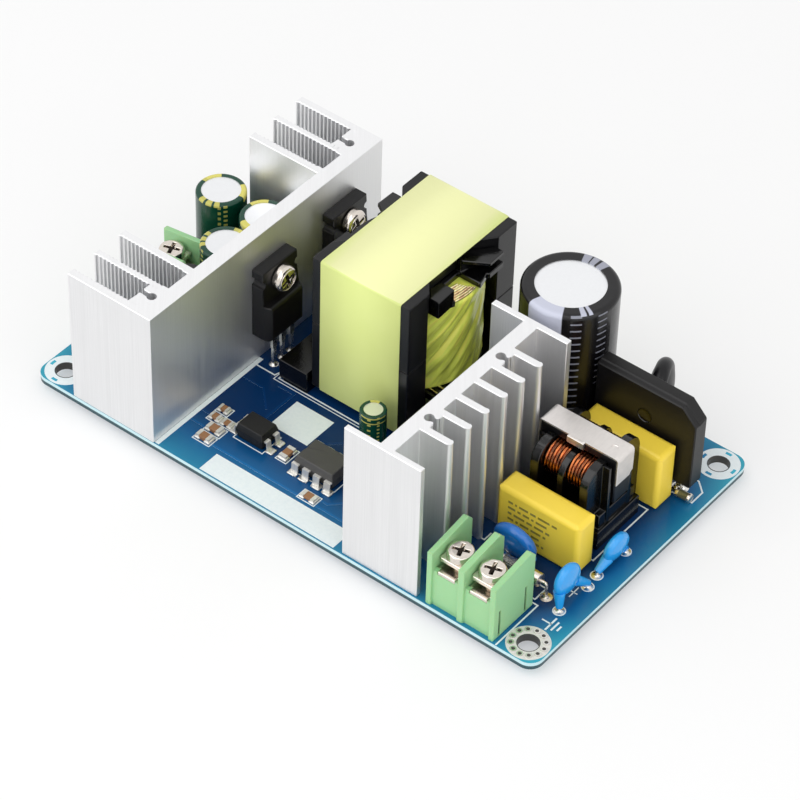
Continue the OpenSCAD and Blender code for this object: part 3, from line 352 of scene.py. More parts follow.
def can_top(base, centre, reach):
    # Drawn aluminium can: satin metal, its top scored with a cross that lets it vent; the cross is
    # painted darker as painted shade in its grooves.
    m, where = new_material("Drawn can aluminium", Metallic=0.75)
    local = add(m, "Mapping", where, (-centre.x, -centre.y, 0), (0, 0, radians(20)))
    x, y = [add(m, "Math", axis, operation="ABSOLUTE")
            for axis in add(m, "SeparateXYZ", local).node.outputs[:2]]
    grooves = []
    for off, along in ((x, y), (y, x)):
        thin = add(m, "MapRange", off, 0.1 * MM, 0.35 * MM, 1.0, 0.0)
        short = add(m, "MapRange", along, reach * 0.8, reach * 0.85, 1.0, 0.0)
        grooves.append(add(m, "Math", thin, short, operation="MULTIPLY"))
    groove_and_its_shade = add(m, "Math", *grooves, operation="MAXIMUM")
    grain = add(m, "TexNoise", where, per(0.5), 3.0)
    tone = add(m, "Mix", grain, shade(base, 0.94), base)
    # painted shade: the scored grooves are darker than the rest of the top
    return surface(m, add(m, "Mix", groove_and_its_shade, tone, shade(base, 0.78)),
                   add(m, "MapRange", grain, 0.0, 1.0, 0.28, 0.44),
                   add(m, "MapRange", groove_and_its_shade, 0.0, 1.0, 1.0, 0.0), 0.12)


def polyester_tape(base):
    # Polyester tape: smooth, slightly waxy film in a few layers that follows every ridge
    # under it; its upright sides are painted darker and greener than its top, as painted shade.
    m, where = new_material("Yellow polyester tape", Specular_IOR_Level=0.3)
    crease = add(m, "TexNoise", add(m, "Mapping", where, Scale=per(9, 1.6, 5)), 1.0, 3.0)
    cloud = add(m, "TexNoise", where, per(9.0), 2.0)
    # painted shade: the upright sides take a darker, greener copy of the colour that the top keeps
    loose = (base[0] * 0.84, base[1] * 0.93, base[2] * 0.6, 1.0)
    side = add(m, "Mix", cloud, loose, (base[0] * 0.91, base[1] * 0.98, base[2] * 0.74, 1.0))
    return surface(m, add(m, "Mix", facing_up(m), side, base), (0.3, 0.5), crease, 0.05)


def wound_tape(base):
    # Tape pulled round the turns: shiny yellow-green film with sharp slanting creases, with
    # a painted highlight on their ridges and painted shade in their folds.
    m, where = new_material("Winding tape", Roughness=0.3, Coat_Weight=0.4, Coat_Roughness=0.15)
    turn = add(m, "Mapping", where, Rotation=(radians(38), 0, 0))
    crease = add(m, "TexNoise", add(m, "Mapping", turn, Scale=per(7, 1.5, 12)), 1.0, 2.0, 0.5)
    # painted shade in the folds and painted highlight on the ridges
    crease_light_and_shade = add(m, "ValToRGB", crease, stops=(
        (0.38, shade(base, 0.66)), (0.47, shade(base, 0.9)), (0.54, base),
        (0.6, shade(base, 1.25))))
    return surface(m, crease_light_and_shade, None, crease, 0.16)


def enamelled_copper(base, dark=0.22):
    # Enamelled copper wire: orange metal under a thin clear lacquer.
    m, where = new_material("Enamelled copper", Metallic=1.0, Coat_Weight=0.6,
                            Coat_Roughness=0.1)
    tint = add(m, "TexNoise", add(m, "Mapping", where, Scale=per(0.5, 1.8, 1.8)), 1.0, 3.0)
    return surface(m, add(m, "ValToRGB", tint, stops=((0.4, shade(base, dark)),
                                                      (0.62, shade(base, 1.3)))),
                   add(m, "MapRange", tint, 0.0, 1.0, 0.14, 0.26))


def ferrite(base):
    # Sintered ferrite: dull charcoal ceramic with a fine ground grain.
    m, where = new_material("Sintered ferrite", Roughness=0.3, Specular_IOR_Level=0.34)
    grain = add(m, "TexNoise", where, per(0.35), 5.0, 0.7)
    return surface(m, add(m, "Mix", grain, shade(base, 0.5), shade(base, 1.3)), None, grain,
                   0.015)


def glass(base):
    # Thin glass tube: clear, with a sharp highlight.
    m, where = new_material("Clear glass tube", Roughness=0.05, IOR=1.5, Transmission_Weight=0.9)
    swirl = add(m, "TexNoise", where, per(3.0), 2.0)
    return surface(m, add(m, "Mix", swirl, base, shade(base, 0.94)))


# Pieces. Sizes given to these functions are in millimetres, and points are in metres.


def dress(material, *nodes):
    """Gives CAD nodes a material in place of their plain one."""
    for node in nodes:
        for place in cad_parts[node].material_slots:
            place.material = material


def finish_piece(name, bm, material, stands_for=(), sharp=35.0):
    """Makes the mesh an object that rides on the module."""
    bmesh.ops.remove_doubles(bm, verts=bm.verts, dist=1e-6)
    bmesh.ops.recalc_face_normals(bm, faces=bm.faces)
    mesh = bpy.data.meshes.new(name)
    bm.to_mesh(mesh)
    bm.free()
    mesh.shade_smooth()
    mesh.set_sharp_from_angle(angle=radians(sharp))
    mesh.materials.append(material)
    piece = bpy.data.objects.new(name, mesh)
    bpy.context.scene.collection.objects.link(piece)
    # large faces keep their own direction beside a rounded edge
    flat = piece.modifiers.new("weighted normals", "WEIGHTED_NORMAL")
    flat.keep_sharp = True
    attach(piece, "root")
    if stands_for:
        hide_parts(*stands_for)
    return piece


def block(bm, centre, size, turn=None):
    """A box with sharp edges, its size in metres."""
    place = Matrix.LocRotScale(centre, turn, size)
    return bmesh.ops.create_cube(bm, size=1.0, matrix=place)["verts"]


def round_off(bm, edges, width, segments=1):
    bmesh.ops.bevel(bm, geom=list(edges), offset=width * MM, offset_type="OFFSET", affect="EDGES",
                    segments=segments, profile=0.5, material=-1, clamp_overlap=False)


def slab(bm, low, high, bevel=0.0):
    """A box between two corners, with its edges rounded where a bevel is given."""
    verts = block(bm, (low + high) / 2, high - low)
    if bevel:
        round_off(bm, dict.fromkeys(e for v in verts for e in v.link_edges), bevel, 3)


def stroke(bm, start, end, width, thick):
    """A flat line between two points, its ends half its width past them."""
    along = end - start
    block(bm, (start + end) / 2 + Vector((0, 0, thick * MM / 2)),
          Vector((along.length + width * MM, width * MM, thick * MM)),
          along.to_track_quat("X", "Z"))


def path(bm, points, width, thick, closed=False):
    """Printed lines through points in millimetres on the board's top."""
    ends = list(zip(points, points[1:])) + ([(points[-1], points[0])] if closed else [])
    for i, (a, b) in enumerate(ends):
        # each line is a hair thicker than the last, so that no two tops share a plane
        stroke(bm, spot(*a), spot(*b), width, thick * (1 + 0.07 * i))


def outline(bm, low, high, width, thick, gap=0.0):
    """A printed rectangle that keeps a gap from the box between two corners on the board."""
    (x0, y0), (x1, y1) = [(v[0] + way * gap, v[1] + way * gap) for v, way in ((low, -1), (high, 1))]
    path(bm, ((x0, y0), (x1, y0), (x1, y1), (x0, y1)), width, thick, closed=True)


def revolve(bm, profile, centre, steps=48, angle=2 * pi, start=0.0):
    """Spins a closed profile of (radius, height) pairs round an upright axis at centre."""
    turn = Matrix.Rotation(start, 3, "Z")
    verts = [bm.verts.new(centre + turn @ Vector((r * MM, 0, z * MM))) for r, z in profile]
    edges = [bm.edges.new((verts[i - 1], verts[i])) for i in range(len(verts))]
    bmesh.ops.spin(bm, geom=verts + edges, cent=centre, axis=(0, 0, 1), angle=angle,
                   steps=steps, use_merge=angle == 2 * pi, use_duplicate=False)


def ring(bm, centre, inner, outer, thick, *spin):
    revolve(bm, ((inner, 0), (outer, 0), (outer, thick), (inner, thick)), centre, *spin)


def wires(runs, radius):
    """A mesh of round wires along lists of points."""
    curve = bpy.data.curves.new("wires", "CURVE")
    curve.dimensions = "3D"
    curve.bevel_depth = radius * MM
    curve.bevel_resolution = 3
    curve.use_fill_caps = True
    for points in runs:
        spline = curve.splines.new("NURBS")
        spline.points.add(len(points) - 1)
        for place, point in zip(spline.points, points):
            place.co = (*point, 1.0)
        spline.use_endpoint_u = True
        spline.order_u = min(4, len(points))
        spline.resolution_u = 5
    holder = bpy.data.objects.new("wires", curve)
    mesh = bpy.data.meshes.new_from_object(holder)
    bm = bmesh.new()
    bm.from_mesh(mesh)
    bpy.data.objects.remove(holder)
    bpy.data.curves.remove(curve)
    bpy.data.meshes.remove(mesh)
    return bm


def merged_copy(node):
    """A bmesh of a CAD node with its loose triangles joined."""
    bm = bmesh.new()
    bm.from_mesh(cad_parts[node].data)
    bmesh.ops.remove_doubles(bm, verts=bm.verts, dist=2e-6)
    return bm


def softened(node, material, width, segments=1, least=35.0, shortest=0.0):
    """Stands for a CAD node with the same shape, its sharp edges cut back by width.

    Edges turned by less than the least angle, or under the shortest length, such as those
    of a slot, stay sharp."""
    bm = merged_copy(node)
    shortest = max(width * 2.2, shortest) * MM
    round_off(bm, [e for e in bm.edges if len(e.link_faces) == 2 and e.calc_length() > shortest
                   and e.calc_face_angle() > radians(least)], width, segments)
    return finish_piece("shaped_" + node, bm, material, (node,), 20.0)


def feet(node):
    """Where each lead of a CAD node enters the board."""
    sunk, one_lead = BOARD_HIGH.z - 0.3 * MM, 1.1 * MM
    bm = merged_copy(node)
    groups = []
    for vert in bm.verts:
        if vert.co.z > sunk:
            continue
        place = Vector((vert.co.x, vert.co.y, BOARD_HIGH.z))
        near = next((g for g in groups if (g[0] - place).length < one_lead), None)
        if near:
            near.append(place)
        else:
            groups.append([place])
    bm.free()
    return [sum(g, Vector()) / len(g) for g in groups]


def solids(node):
    """The low and high corners of each separate solid in a CAD node."""
    bm = merged_copy(node)
    left, boxes = dict.fromkeys(bm.verts), []
    while left:
        group, waiting = [], [left.popitem()[0]]
        while waiting:
            vert = waiting.pop()
            group.append(vert.co)
            for edge in vert.link_edges:
                other = edge.other_vert(vert)
                if other in left:
                    del left[other]
                    waiting.append(other)
        boxes.append([Vector(f(v[k] for v in group) for k in range(3)) for f in (min, max)])
    bm.free()
    return boxes


def joint(bm, foot, lead, land, height):
    """A tinned land with solder drawn up round a lead."""
    revolve(bm, ((lead * 0.4, 0), (land, 0), (land, 0.05), (land * 0.85, 0.09),
                 (lead * 1.7, height * 0.3), (lead * 1.2, height * 0.7), (lead, height),
                 (lead * 0.4, height)), foot, 24)


class SUPPLY_OT_board(Operator):
    """Solder mask, printed outlines, tracks, lands and solder of the board"""

    bl_idname = "supply.board"
    bl_label = "Board"

    def execute(self, context):
        s = context.scene.supply_board
        tinned = tin(s.tin)
        dress(masked_laminate(s), "board")
        dress(tinned, "solder_joints", "heatsink_pins", "transformer_pins", "capacitor_leads",
              "bridge_leads", "film_leads", "disc_leads", "choke_pins", "device_legs")
        dress(tin(s.tin, 0.34, 0.6, "Matt tin plate"), "chip_legs", "chip_ends")
        self.print_outlines(s)
        self.lay_tracks(s)
        self.tin_lands(s, tinned)
        self.solder_pads(s)
        bm = bmesh.new()
        for node, lead, land, height in (
            ("film_leads", 0.35, 1.1, 0.5), ("disc_leads", 0.32, 1.05, 0.45),
            ("bridge_leads", 0.5, 1.3, 0.7), ("device_legs", 0.45, 0.95, 0.5),
            ("capacitor_leads", 0.35, 0.9, 0.4), ("choke_pins", 0.4, 1.1, 0.4),
        ):
            for foot in feet(node):
                joint(bm, foot, lead, land, height)
        finish_piece("top_solder", bm, tinned, sharp=50.0)
        return {"FINISHED"}

    def print_outlines(self, s):
        thick, line = 0.03, s.line / MM
        fine, broad = line * 0.7, line * 1.2
        bm = bmesh.new()
        # bare label area and patch
        slab(bm, spot(40.8, 0.3), spot(72.6, 5.3, thick))
        slab(bm, spot(43.2, 17.6), spot(52.2, 25.6, thick))
        (x0, y0), (x1, y1) = low, high = [on_board(v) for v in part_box("transformer_bobbin")]
        outline(bm, low, high, line, thick)
        path(bm, ((x0 - 0.7, y1), (x0 - 0.7, y0 - 0.7), (x1, y0 - 0.7)), line * 0.6, thick)
        path(bm, ((31, 28.5), (35.3, 28.5), (36.3, 31.9)), line, thick)
        # a broad pale line along the foot of the output heatsink, a painted reflection of the
        # heatsink on the board
        face = on_board(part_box("output_heatsink")[1])[0] + 0.5
        path(bm, ((face, 0.8), (face, 30.0)), line * 3.2, thick)
        # terminal, fuse, choke, bridge and varistor
        path(bm, ((109.6, 0.3), (109.6, 12.5), (92.8, 12.5)), line, thick)
        path(bm, ((88.6, 19.4), (92.3, 19.4), (92.3, 21.4)), line, thick)
        outline(bm, (92.3, 27.8), (110.6, 44.6), line, thick)
        path(bm, ((111.4, 51.2), (115.8, 51.2), (115.8, 54.6), (113.6, 56.6), (92.4, 56.6)),
             line, thick)
        outline(bm, (95.2, 13.4), (108.3, 16.8), line, thick)
        # one outline round each chip and each chip part
        for node in ("optocoupler", "controller_chip"):
            outline(bm, *[on_board(v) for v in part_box(node)], fine, thick, 0.3)
        for low, high in self.chip_parts():
            outline(bm, on_board(low), on_board(high), fine, thick, 0.45)
        # a broad ring round three of the holes, and rings round the discs' leads
        for hole in PLAIN_HOLES:
            ring(bm, hole, 2.2, s.land / MM, thick)
        for foot in feet("disc_leads"):
            ring(bm, foot, 1.05, 1.25, thick, 32)
        # ground symbol
        for x, half in ((113.6, 1.6), (114.5, 1.05), (115.4, 0.5)):
            path(bm, ((x + 0.5, 10.4 - half), (x + 0.5, 10.4 + half)), broad, thick)
        path(bm, ((112.3, 10.4), (114.1, 10.4)), line, thick)
        # polarity mark between the small discs
        path(bm, ((112.6, 17.9), (112.6, 20.6)), fine, thick)
        path(bm, ((111.9, 19.2), (113.3, 19.2)), fine, thick)
        finish_piece("board_print", bm, ink(s.ink))

    def chip_parts(self):
        """The low and high corners of each chip part, from the metal ends next to its body."""
        ends, parts = solids("chip_ends"), []
        for body in solids("chip_bodies"):
            centre = sum(body, Vector()) / 2
            pair = sorted(ends, key=lambda end: (sum(end, Vector()) / 2 - centre).length)[:2]
            parts.append([[pick(end[side][k] for end in pair) for k in (0, 1)]
                          for side, pick in enumerate((min, max))])
        return parts

    def lay_tracks(self, s):
        bm = bmesh.new()
        for width, points in (
            (0.5, ((31.0, 9.4), (35.6, 9.4), (38.4, 6.6), (74.0, 6.6))),
            (0.5, ((31.0, 12.6), (33.6, 12.6), (35.0, 14.0))),
            (0.6, ((54.0, 19.6), (60.0, 25.6), (66.0, 25.6))),
            (0.6, ((41.5, 15.8), (41.5, 26.8), (38.0, 26.8))),
            (0.5, ((60.2, 8.2), (64.8, 8.2), (69.4, 12.8))),
            (0.4, ((30.6, 24.4), (36.0, 24.4), (40.0, 20.4))),
            (0.4, ((1.6, 2.0), (7.4, 2.0), (9.4, 4.0), (9.4, 8.0))),
        ):
            path(bm, points, width, 0.02)
        # four small windows in the ring round each plain hole
        for hole in PLAIN_HOLES:
            for turn in range(4):
                ring(bm, hole, 3.0, 3.6, 0.06, 6, radians(22), radians(90 * turn - 11))
        bmesh.ops.holes_fill(bm, edges=bm.edges, sides=4)
        finish_piece("copper_tracks", bm, masked_laminate(s, "Masked copper", s.track))
        # wide tinned tracks under the board, between the joints of the power parts
        bm = bmesh.new()
        for width, points in (
            (4.0, ((95.0, 15.1), (95.0, 30.0), (100.0, 36.0))),
            (3.0, ((108.0, 16.0), (110.0, 42.0))),
            (3.4, ((66.0, 55.0), (80.0, 58.0), (96.0, 56.0))),
            (4.4, ((24.0, 20.0), (38.0, 33.0))),
            (4.4, ((8.0, 24.0), (8.0, 44.0), (24.0, 56.0), (38.0, 58.0))),
            (2.0, ((52.0, 14.0), (60.0, 22.0), (60.0, 30.0))),
        ):
            for i, (a, b) in enumerate(zip(points, points[1:])):
                # each reaches a hair lower than the last, so that no two share a plane
                low = -BOARD_THICK - 0.04 - 0.006 * i
                stroke(bm, spot(*a, low), spot(*b, low), width, 0.08)
        finish_piece("tinned_tracks", bm, tin(shade(s.tin, 0.92)))

    def tin_lands(self, s, tinned):
        lands, barrels, vias = bmesh.new(), bmesh.new(), bmesh.new()
        ring(lands, VIA_HOLE, 2.15, s.land / MM, 0.04)
        # painted shade: each hole's wall is lined with near-black tin
        for hole in (*PLAIN_HOLES, VIA_HOLE):
            ring(barrels, hole - Vector((0, 0, BOARD_THICK * MM)), 2.02, 2.16, BOARD_THICK + 0.05)
        # plated vias stand as small rims on the front hole's land, each with a dark disc inside as
        # painted shade
        for turn in range(12):
            out = Matrix.Rotation(radians(30 * turn + 8), 3, "Z") @ Vector((3.15 * MM, 0, 0))
            ring(vias, VIA_HOLE + out, 0.36, 0.62, 0.26, 20)
            revolve(barrels, ((0, 0.045), (0.38, 0.045), (0.38, 0.09), (0, 0.09)),
                    VIA_HOLE + out, 16)
        finish_piece("hole_lands", lands, tin(s.tin, 0.45, 0.15, "Satin tin land"))
        finish_piece("hole_barrels", barrels, tin(shade(s.tin, 0.12), 0.4, 0.8, "Barrel painted dark as shade"))
        finish_piece("land_vias", vias, tinned)

    def solder_pads(self, s):
        """Solder on the pads of the chip parts and of the two chips' legs."""
        bm = bmesh.new()
        grow = Vector((0.3, 0.3, 0)) * MM
        for low, high in solids("chip_ends"):
            top = Vector((high.x, high.y, low.z + (high.z - low.z) * 0.55)) + grow
            slab(bm, low - grow, top, 0.24)
        half, thick = Vector((0.85, 0.85, 0)) * MM, Vector((0, 0, 0.3)) * MM
        for low, high in solids("chip_legs"):
            foot = (low + high) / 2
            chip = min((middle("optocoupler"), middle("controller_chip")),
                       key=lambda place: (place - foot).length)
            axis = 0 if high.x - low.x > high.y - low.y else 1
            foot[axis] = (high[axis] - 0.35 * MM if foot[axis] > chip[axis]
                          else low[axis] + 0.35 * MM)
            foot.z = BOARD_HIGH.z
            slab(bm, foot - half, foot + half + thick, 0.22)
        finish_piece("pad_solder", bm, tin(s.tin, 0.3, 0.75, "Reflowed solder"))


class SUPPLY_OT_heatsinks(Operator):
    """Aluminium of the two heatsinks, with its sawn edges broken"""

    bl_idname = "supply.heatsinks"
    bl_label = "Heatsinks"

    def execute(self, context):
        metal = extruded_aluminium(context.scene.supply_heatsinks.aluminium)
        for node, width in (("output_heatsink", 0.1), ("input_heatsink", 0.12)):
            softened(node, metal, width, least=50.0)
        return {"FINISHED"}


class SUPPLY_OT_transformer(Operator):
    """Core, bobbin, winding and tape of the transformer"""

    bl_idname = "supply.transformer"
    bl_label = "Transformer"

    def execute(self, context):
        s = context.scene.supply_transformer
        black = ferrite(s.ferrite)
        for node in ("core_upper", "core_lower"):
            softened(node, black, 0.25, 2)
        softened("transformer_bobbin", moulded("Phenolic bobbin", s.phenolic, 0.16, 0.8, 0.03),
                 0.15)
        dress(enamelled_copper(s.strand, 0.8), "transformer_strands")
        self.wrap_winding(s)
        self.wrap_core(s)
        return {"FINISHED"}

    def wrap_winding(self, s):
        """The tape over the winding, creased where it was pulled tight."""
        low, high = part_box("transformer_winding")
        centre = Vector(((low.x + high.x) / 2, (low.y + high.y) / 2, low.z))
        radius, tall = (high.x - low.x) / 2 / MM, (high.z - low.z) / MM
        hole, rows, edge = radius * 0.6, 64, 0.7
        wall = [(radius, tall * i / rows) for i in range(rows + 1)]
        bm = bmesh.new()
        revolve(bm, [(hole, 0), *wall, (hole, tall)], centre, 240)
        for vert in bm.verts:
            out = (vert.co - centre) / MM
            up, out.z = out.z, 0
            if out.length < radius * 0.9:
                continue
            # creases climb round the winding at a steep slant and fade towards its two ends
            x, y, _ = Matrix.Rotation(-0.83 * up / radius, 3, "Z") @ out.normalized() * radius
            inside = min(up, tall - up)
            fade = min(1.0, 6.0 * inside / tall + 0.15)
            depth = 0.5 * max(0.0, 1.0 - inside / edge) ** 2
            # broad folds and fine ones: how wide, tall and deep, and their place in the pattern
            for wide, long, deep, place in ((3.4, 13, 1.25, 0), (1.6, 9, 0.3, 5)):
                crease = turbulence.noise(Vector((x / wide, y / wide, up / long + place)))
                depth += deep * abs(crease) * fade
            vert.co -= out.normalized() * depth * MM
        finish_piece("winding_tape", bm, wound_tape(s.winding_tape),
                     ("transformer_winding",), 70.0)

    def wrap_core(self, s):
        """Three layers of tape round the core, open where it passes out of them."""
        low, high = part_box("core_tape")
        bm = bmesh.new()
        # each layer is a little narrower, pulled slightly to one side, and further out
        for narrow, shift, sunk in ((0.0, 0.0, 0.12), (0.12, 0.1, 0.06), (0.3, -0.12, 0.0)):
            start = low + Vector((narrow + shift, sunk, sunk)) * MM
            end = high - Vector((narrow - shift, sunk, sunk)) * MM
            start.x, end.x = max(start.x, low.x), min(end.x, high.x)
            verts = block(bm, (start + end) / 2, end - start)
            faces = dict.fromkeys(f for v in verts for f in v.link_faces)
            bmesh.ops.delete(bm, geom=[f for f in faces if abs(f.normal.x) > 0.9],
                             context="FACES_ONLY")
            edges = dict.fromkeys(e for v in verts for e in v.link_edges)
            round_off(bm, [e for e in edges if abs(e.verts[0].co.x - e.verts[1].co.x) > MM],
                      0.45, 4)
        layers = finish_piece("core_tape_layers", bm, polyester_tape(s.tape),
                              ("core_tape",), 25.0)
        wall = layers.modifiers.new("thickness", "SOLIDIFY")
        wall.thickness = 0.05 * MM
        wall.offset = -1.0


class SUPPLY_OT_electrolytics(Operator):
    """Sleeves, stripes and can tops of the electrolytic capacitors"""

    bl_idname = "supply.electrolytics"
    bl_label = "Electrolytic Capacitors"

    def execute(self, context):
        s = context.scene.supply_capacitors
        dress(moulded("Bung rubber", linear("#2c2a2a"), 0.7, 0.4, 0.02), "bulk_bung", "small_bungs")
        # way it faces, half width, start height, ink cover, and bar spacing and printed share
        bulk = ((-86, 22, 0.0, 1.0), (-47, 6, 9.0, 0.42, 1.6, 0.22), (-14, 6, 14.0, 0.34, 1.5, 0.2),
                (-38, 3, -0.3, 0.9), (-29, 2, -0.3, 0.9), (78, 5, -0.3, 0.6), (92, 4, -0.3, 0.6),
                (104, 5, -0.3, 0.6), (60, 6, 10.0, 0.5, 3.0, 0.3), (150, 10, 8.0, 0.5, 2.2, 0.3))
        small = ((-40, 4, 0.0, 0.6, 1.1, 0.45), (35, 24, -1.2, 1.0), (150, 20, -1.0, 1.0),
                 (-54, 3, 3.0, 0.5, 1.3, 0.5), (-102, 7, -0.6, 0.8), (-80, 7, -0.6, 0.8),
                 (-60, 6, -0.6, 0.8), (160, 22, 0.0, 0.8, 3.2, 0.7))
        tiny = ((-52, 60, 9.6, 0.8, 1.2, 0.2), (-30, 5, 1.0, 0.7, 0.9, 0.4),
                (-70, 7, 1.0, 0.7, 1.3, 0.3), (120, 24, 0.0, 0.8, 2.2, 0.6))
        black, green = (s.black_sleeve, s.stripe), (s.green_sleeve, s.gold_print)
        for name, inks, bands, turn in (
            ("bulk_sleeve", black, bulk, 0), ("output_sleeve_1", green, small, 0),
            ("output_sleeve_2", green, small, 110), ("output_sleeve_3", green, small, -75),
            ("supply_sleeve", green, tiny, 0),
        ):
            dress(sleeve(name, *inks, [(aim + turn, *rest) for aim, *rest in bands]), name)
            low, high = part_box(name)
            can = name.replace("sleeve", "can")
            dress(can_top(s.can, middle(can), (high.x - low.x) * 0.3), can)
        return {"FINISHED"}


class SUPPLY_OT_film_and_disc(Operator):
    """Film capacitors with their printed bars, and dipped discs"""

    bl_idname = "supply.film_and_disc"
    bl_label = "Film Capacitors and Discs"

    def execute(self, context):
        s = context.scene.supply_capacitors
        dress(moulded("Polypropylene case", s.film, 0.38, 0.5, 0.02, 0.9),
              "film_capacitor_front", "film_capacitor_rear")
        dip = {"Coat_Weight": 0.5, "Coat_Roughness": 0.05}
        dress(moulded("Blue epoxy dip", s.blue, 0.25, 1.8, 0.12, **dip),
              "y_capacitor_front", "y_capacitor_rear")
        dress(moulded("Deep blue epoxy dip", s.deep_blue, 0.25, 2.2, 0.12, **dip), "varistor")
        dress(moulded("Black silicone dip", s.black_dip, 0.34, 1.6, 0.06, Specular_IOR_Level=0.3),
              "inrush_disc")
        # rows of plain bars, by their lengths
        bm = bmesh.new()
        low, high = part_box("film_capacitor_front")
        deep, gap = 0.02 * MM, 0.5 * MM
        for row, bars in enumerate((
            (1.0, 0.4, 2.0, 1.2, 2.6, 1.1), (1.6, 0.7, 1.4, 0.5, 2.4), (0.8, 2.4, 1.2, 2.0, 0.9),
            (1.3, 0.5, 1.9, 2.2, 0.6), (2.2, 1.0, 0.6, 1.8), (0.6, 1.7, 1.1, 2.3, 0.5),
        )):
            x, z = low.x + 2.6 * MM, high.z - (3.0 + 1.35 * row) * MM
            for bar in bars:
                slab(bm, Vector((x, low.y - deep, z)),
                     Vector((x + bar * MM, low.y + deep, z + gap)))
                x += bar * MM + gap
        finish_piece("film_bars", bm, ink(s.film_print))
        return {"FINISHED"}


class SUPPLY_OT_choke(Operator):
    """Common-mode choke and its clip, and the output choke"""

    bl_idname = "supply.choke"
    bl_label = "Chokes"

    def execute(self, context):
        s = context.scene.supply_transformer
        black = ferrite(s.ferrite)
        for node in ("choke_core_left", "choke_core_right"):
            softened(node, black, 0.2)
        softened("choke_bobbin", moulded("Nylon bobbin", s.phenolic, 0.16, 0.8, 0.03),
                 0.14)
        dress(enamelled_copper(s.copper), "choke_winding_front", "choke_winding_rear")
        steel = plated("Tinned spring steel", context.scene.supply_components.steel, 0.36, 0.01)
        softened("choke_clip", steel, 0.09, shortest=2.0)
        dress(moulded("Shrink tube", linear("#141416"), 0.3, 0.8, 0.04), "output_choke")
        return {"FINISHED"}


class SUPPLY_OT_terminals(Operator):
    """Screw terminals: bodies, contacts, clamps and screws"""

    bl_idname = "supply.terminals"
    bl_label = "Screw Terminals"

    def execute(self, context):
        s = context.scene.supply_terminals
        green = moulded("Green polyamide", s.body, 0.36, 0.5, 0.03, 0.93, Subsurface_Weight=0.15,
                        Subsurface_Scale=2 * MM)
        for node in ("input_terminal", "output_terminal"):
            softened(node, green, 0.2, 2, shortest=6.4)
        nickel = plated("Nickel plate", s.nickel)
        for node in ("terminal_contacts", "terminal_clamps"):
            softened(node, nickel, 0.12)
        struck = plated("Struck nickel screw", s.nickel, 0.16, 0.03)
        for node in ("terminal_screws", "device_screws"):
            softened(node, struck, 0.08)
        self.shade_recesses(context.scene.supply_components)
        self.shade_slots(s)
        return {"FINISHED"}

    def shade_slots(self, s):
        """Painted shade: dark sheets on the floors of the narrow slots in the bodies' outer walls.
        """
        bm = bmesh.new()
        for node, across, along in (("input_terminal", 0, 1), ("output_terminal", 1, 0)):
            low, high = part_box(node)
            for start in (low[along] + 1.7 * MM, high[along] - 2.4 * MM):
                for wall in (low[across] + 0.3 * MM, high[across] - 0.3 * MM):
                    place, size = Vector((0, 0, low.z + 3.5 * MM)), Vector((0, 0, 6.16)) * MM
                    place[across], place[along] = wall, start
                    size[across], size[along] = 0.1 * MM, 0.58 * MM
                    block(bm, place, size)
        # painted shade: a near-black copy of the body colour stands for the shade in the slots
        dark = moulded("Shaded polyamide", shade(s.body, 0.07), 0.6, 0.5, 0.01)
        finish_piece("terminal_slot_painted_shade", bm, dark)

    def shade_recesses(self, s):
        """Painted shade: a dark cross in each screw head, just under its face."""
        bm = bmesh.new()
        for low, high in solids("terminal_screws") + solids("device_screws"):
            face, turn = (low + high) / 2, None
            if high.z - low.z > high.x - low.x:
                face.z = high.z - 0.3 * MM
            else:
                # a screw that lies on its side has its head towards the middle of the board
                face.x = high.x - 0.3 * MM if face.x < 0 else low.x + 0.3 * MM
                turn = Euler((0, radians(90), 0)).to_quaternion()
            for bar in ((2.5, 0.55, 0.24), (0.55, 2.5, 0.25)):
                block(bm, face, Vector(bar) * MM, turn)
        # painted shade: the dark cross stands for the shade in each recess
        finish_piece("screw_recess_painted_shade", bm, plated("Shaded nickel", s.recess, 0.5))


class SUPPLY_OT_semiconductors(Operator):
    """Moulded power devices and chips"""

    bl_idname = "supply.semiconductors"
    bl_label = "Semiconductors"

    def execute(self, context):
        s = context.scene.supply_components
        epoxy = moulded("Epoxy moulding compound", s.epoxy, 0.38, 0.25, 0.02, 0.8,
                        Specular_IOR_Level=0.35)
        for node, width in (("bridge_rectifier", 0.2), ("rectifier_front", 0.18),
                            ("rectifier_rear", 0.18), ("switching_transistor", 0.18)):
            softened(node, epoxy, width)
        for node, tone in (("optocoupler", shade(s.chip, 0.05)), ("controller_chip", s.chip)):
            matt = moulded("Matt chip epoxy", tone, 0.5, 0.25, 0.02, 0.85, Specular_IOR_Level=0.4)
            softened(node, matt, 0.12)
        # the ejector's mark in the bridge is a shallow polished bowl, painted darker than the body
        # as painted shade
        low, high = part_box("bridge_rectifier")
        bm = bmesh.new()
        bowl = [(1.6 * sin(radians(a)), 0.46 * (1 - cos(radians(a)))) for a in range(0, 91, 10)]
        revolve(bm, (*bowl, (1.6, -0.03), (0, -0.03)), Vector())
        place = Vector(((low.x + high.x) / 2, low.y + 0.47 * MM, low.z + (high.z - low.z) * 0.63))
        bm.transform(Matrix.Translation(place) @ Matrix.Rotation(radians(90), 4, "X"))
        # painted shade: the bowl takes a darker copy of the epoxy colour
        polished = moulded("Polished epoxy painted dark as shade", shade(s.epoxy, 0.3), 0.2, 0.25, 0.005)
        finish_piece("bridge_dimple", bm, polished, (), 60.0)
        softened("chip_bodies", moulded("Fired chip ceramic", s.ceramic, 0.4, 0.3, 0.01),
                 0.06)
        return {"FINISHED"}


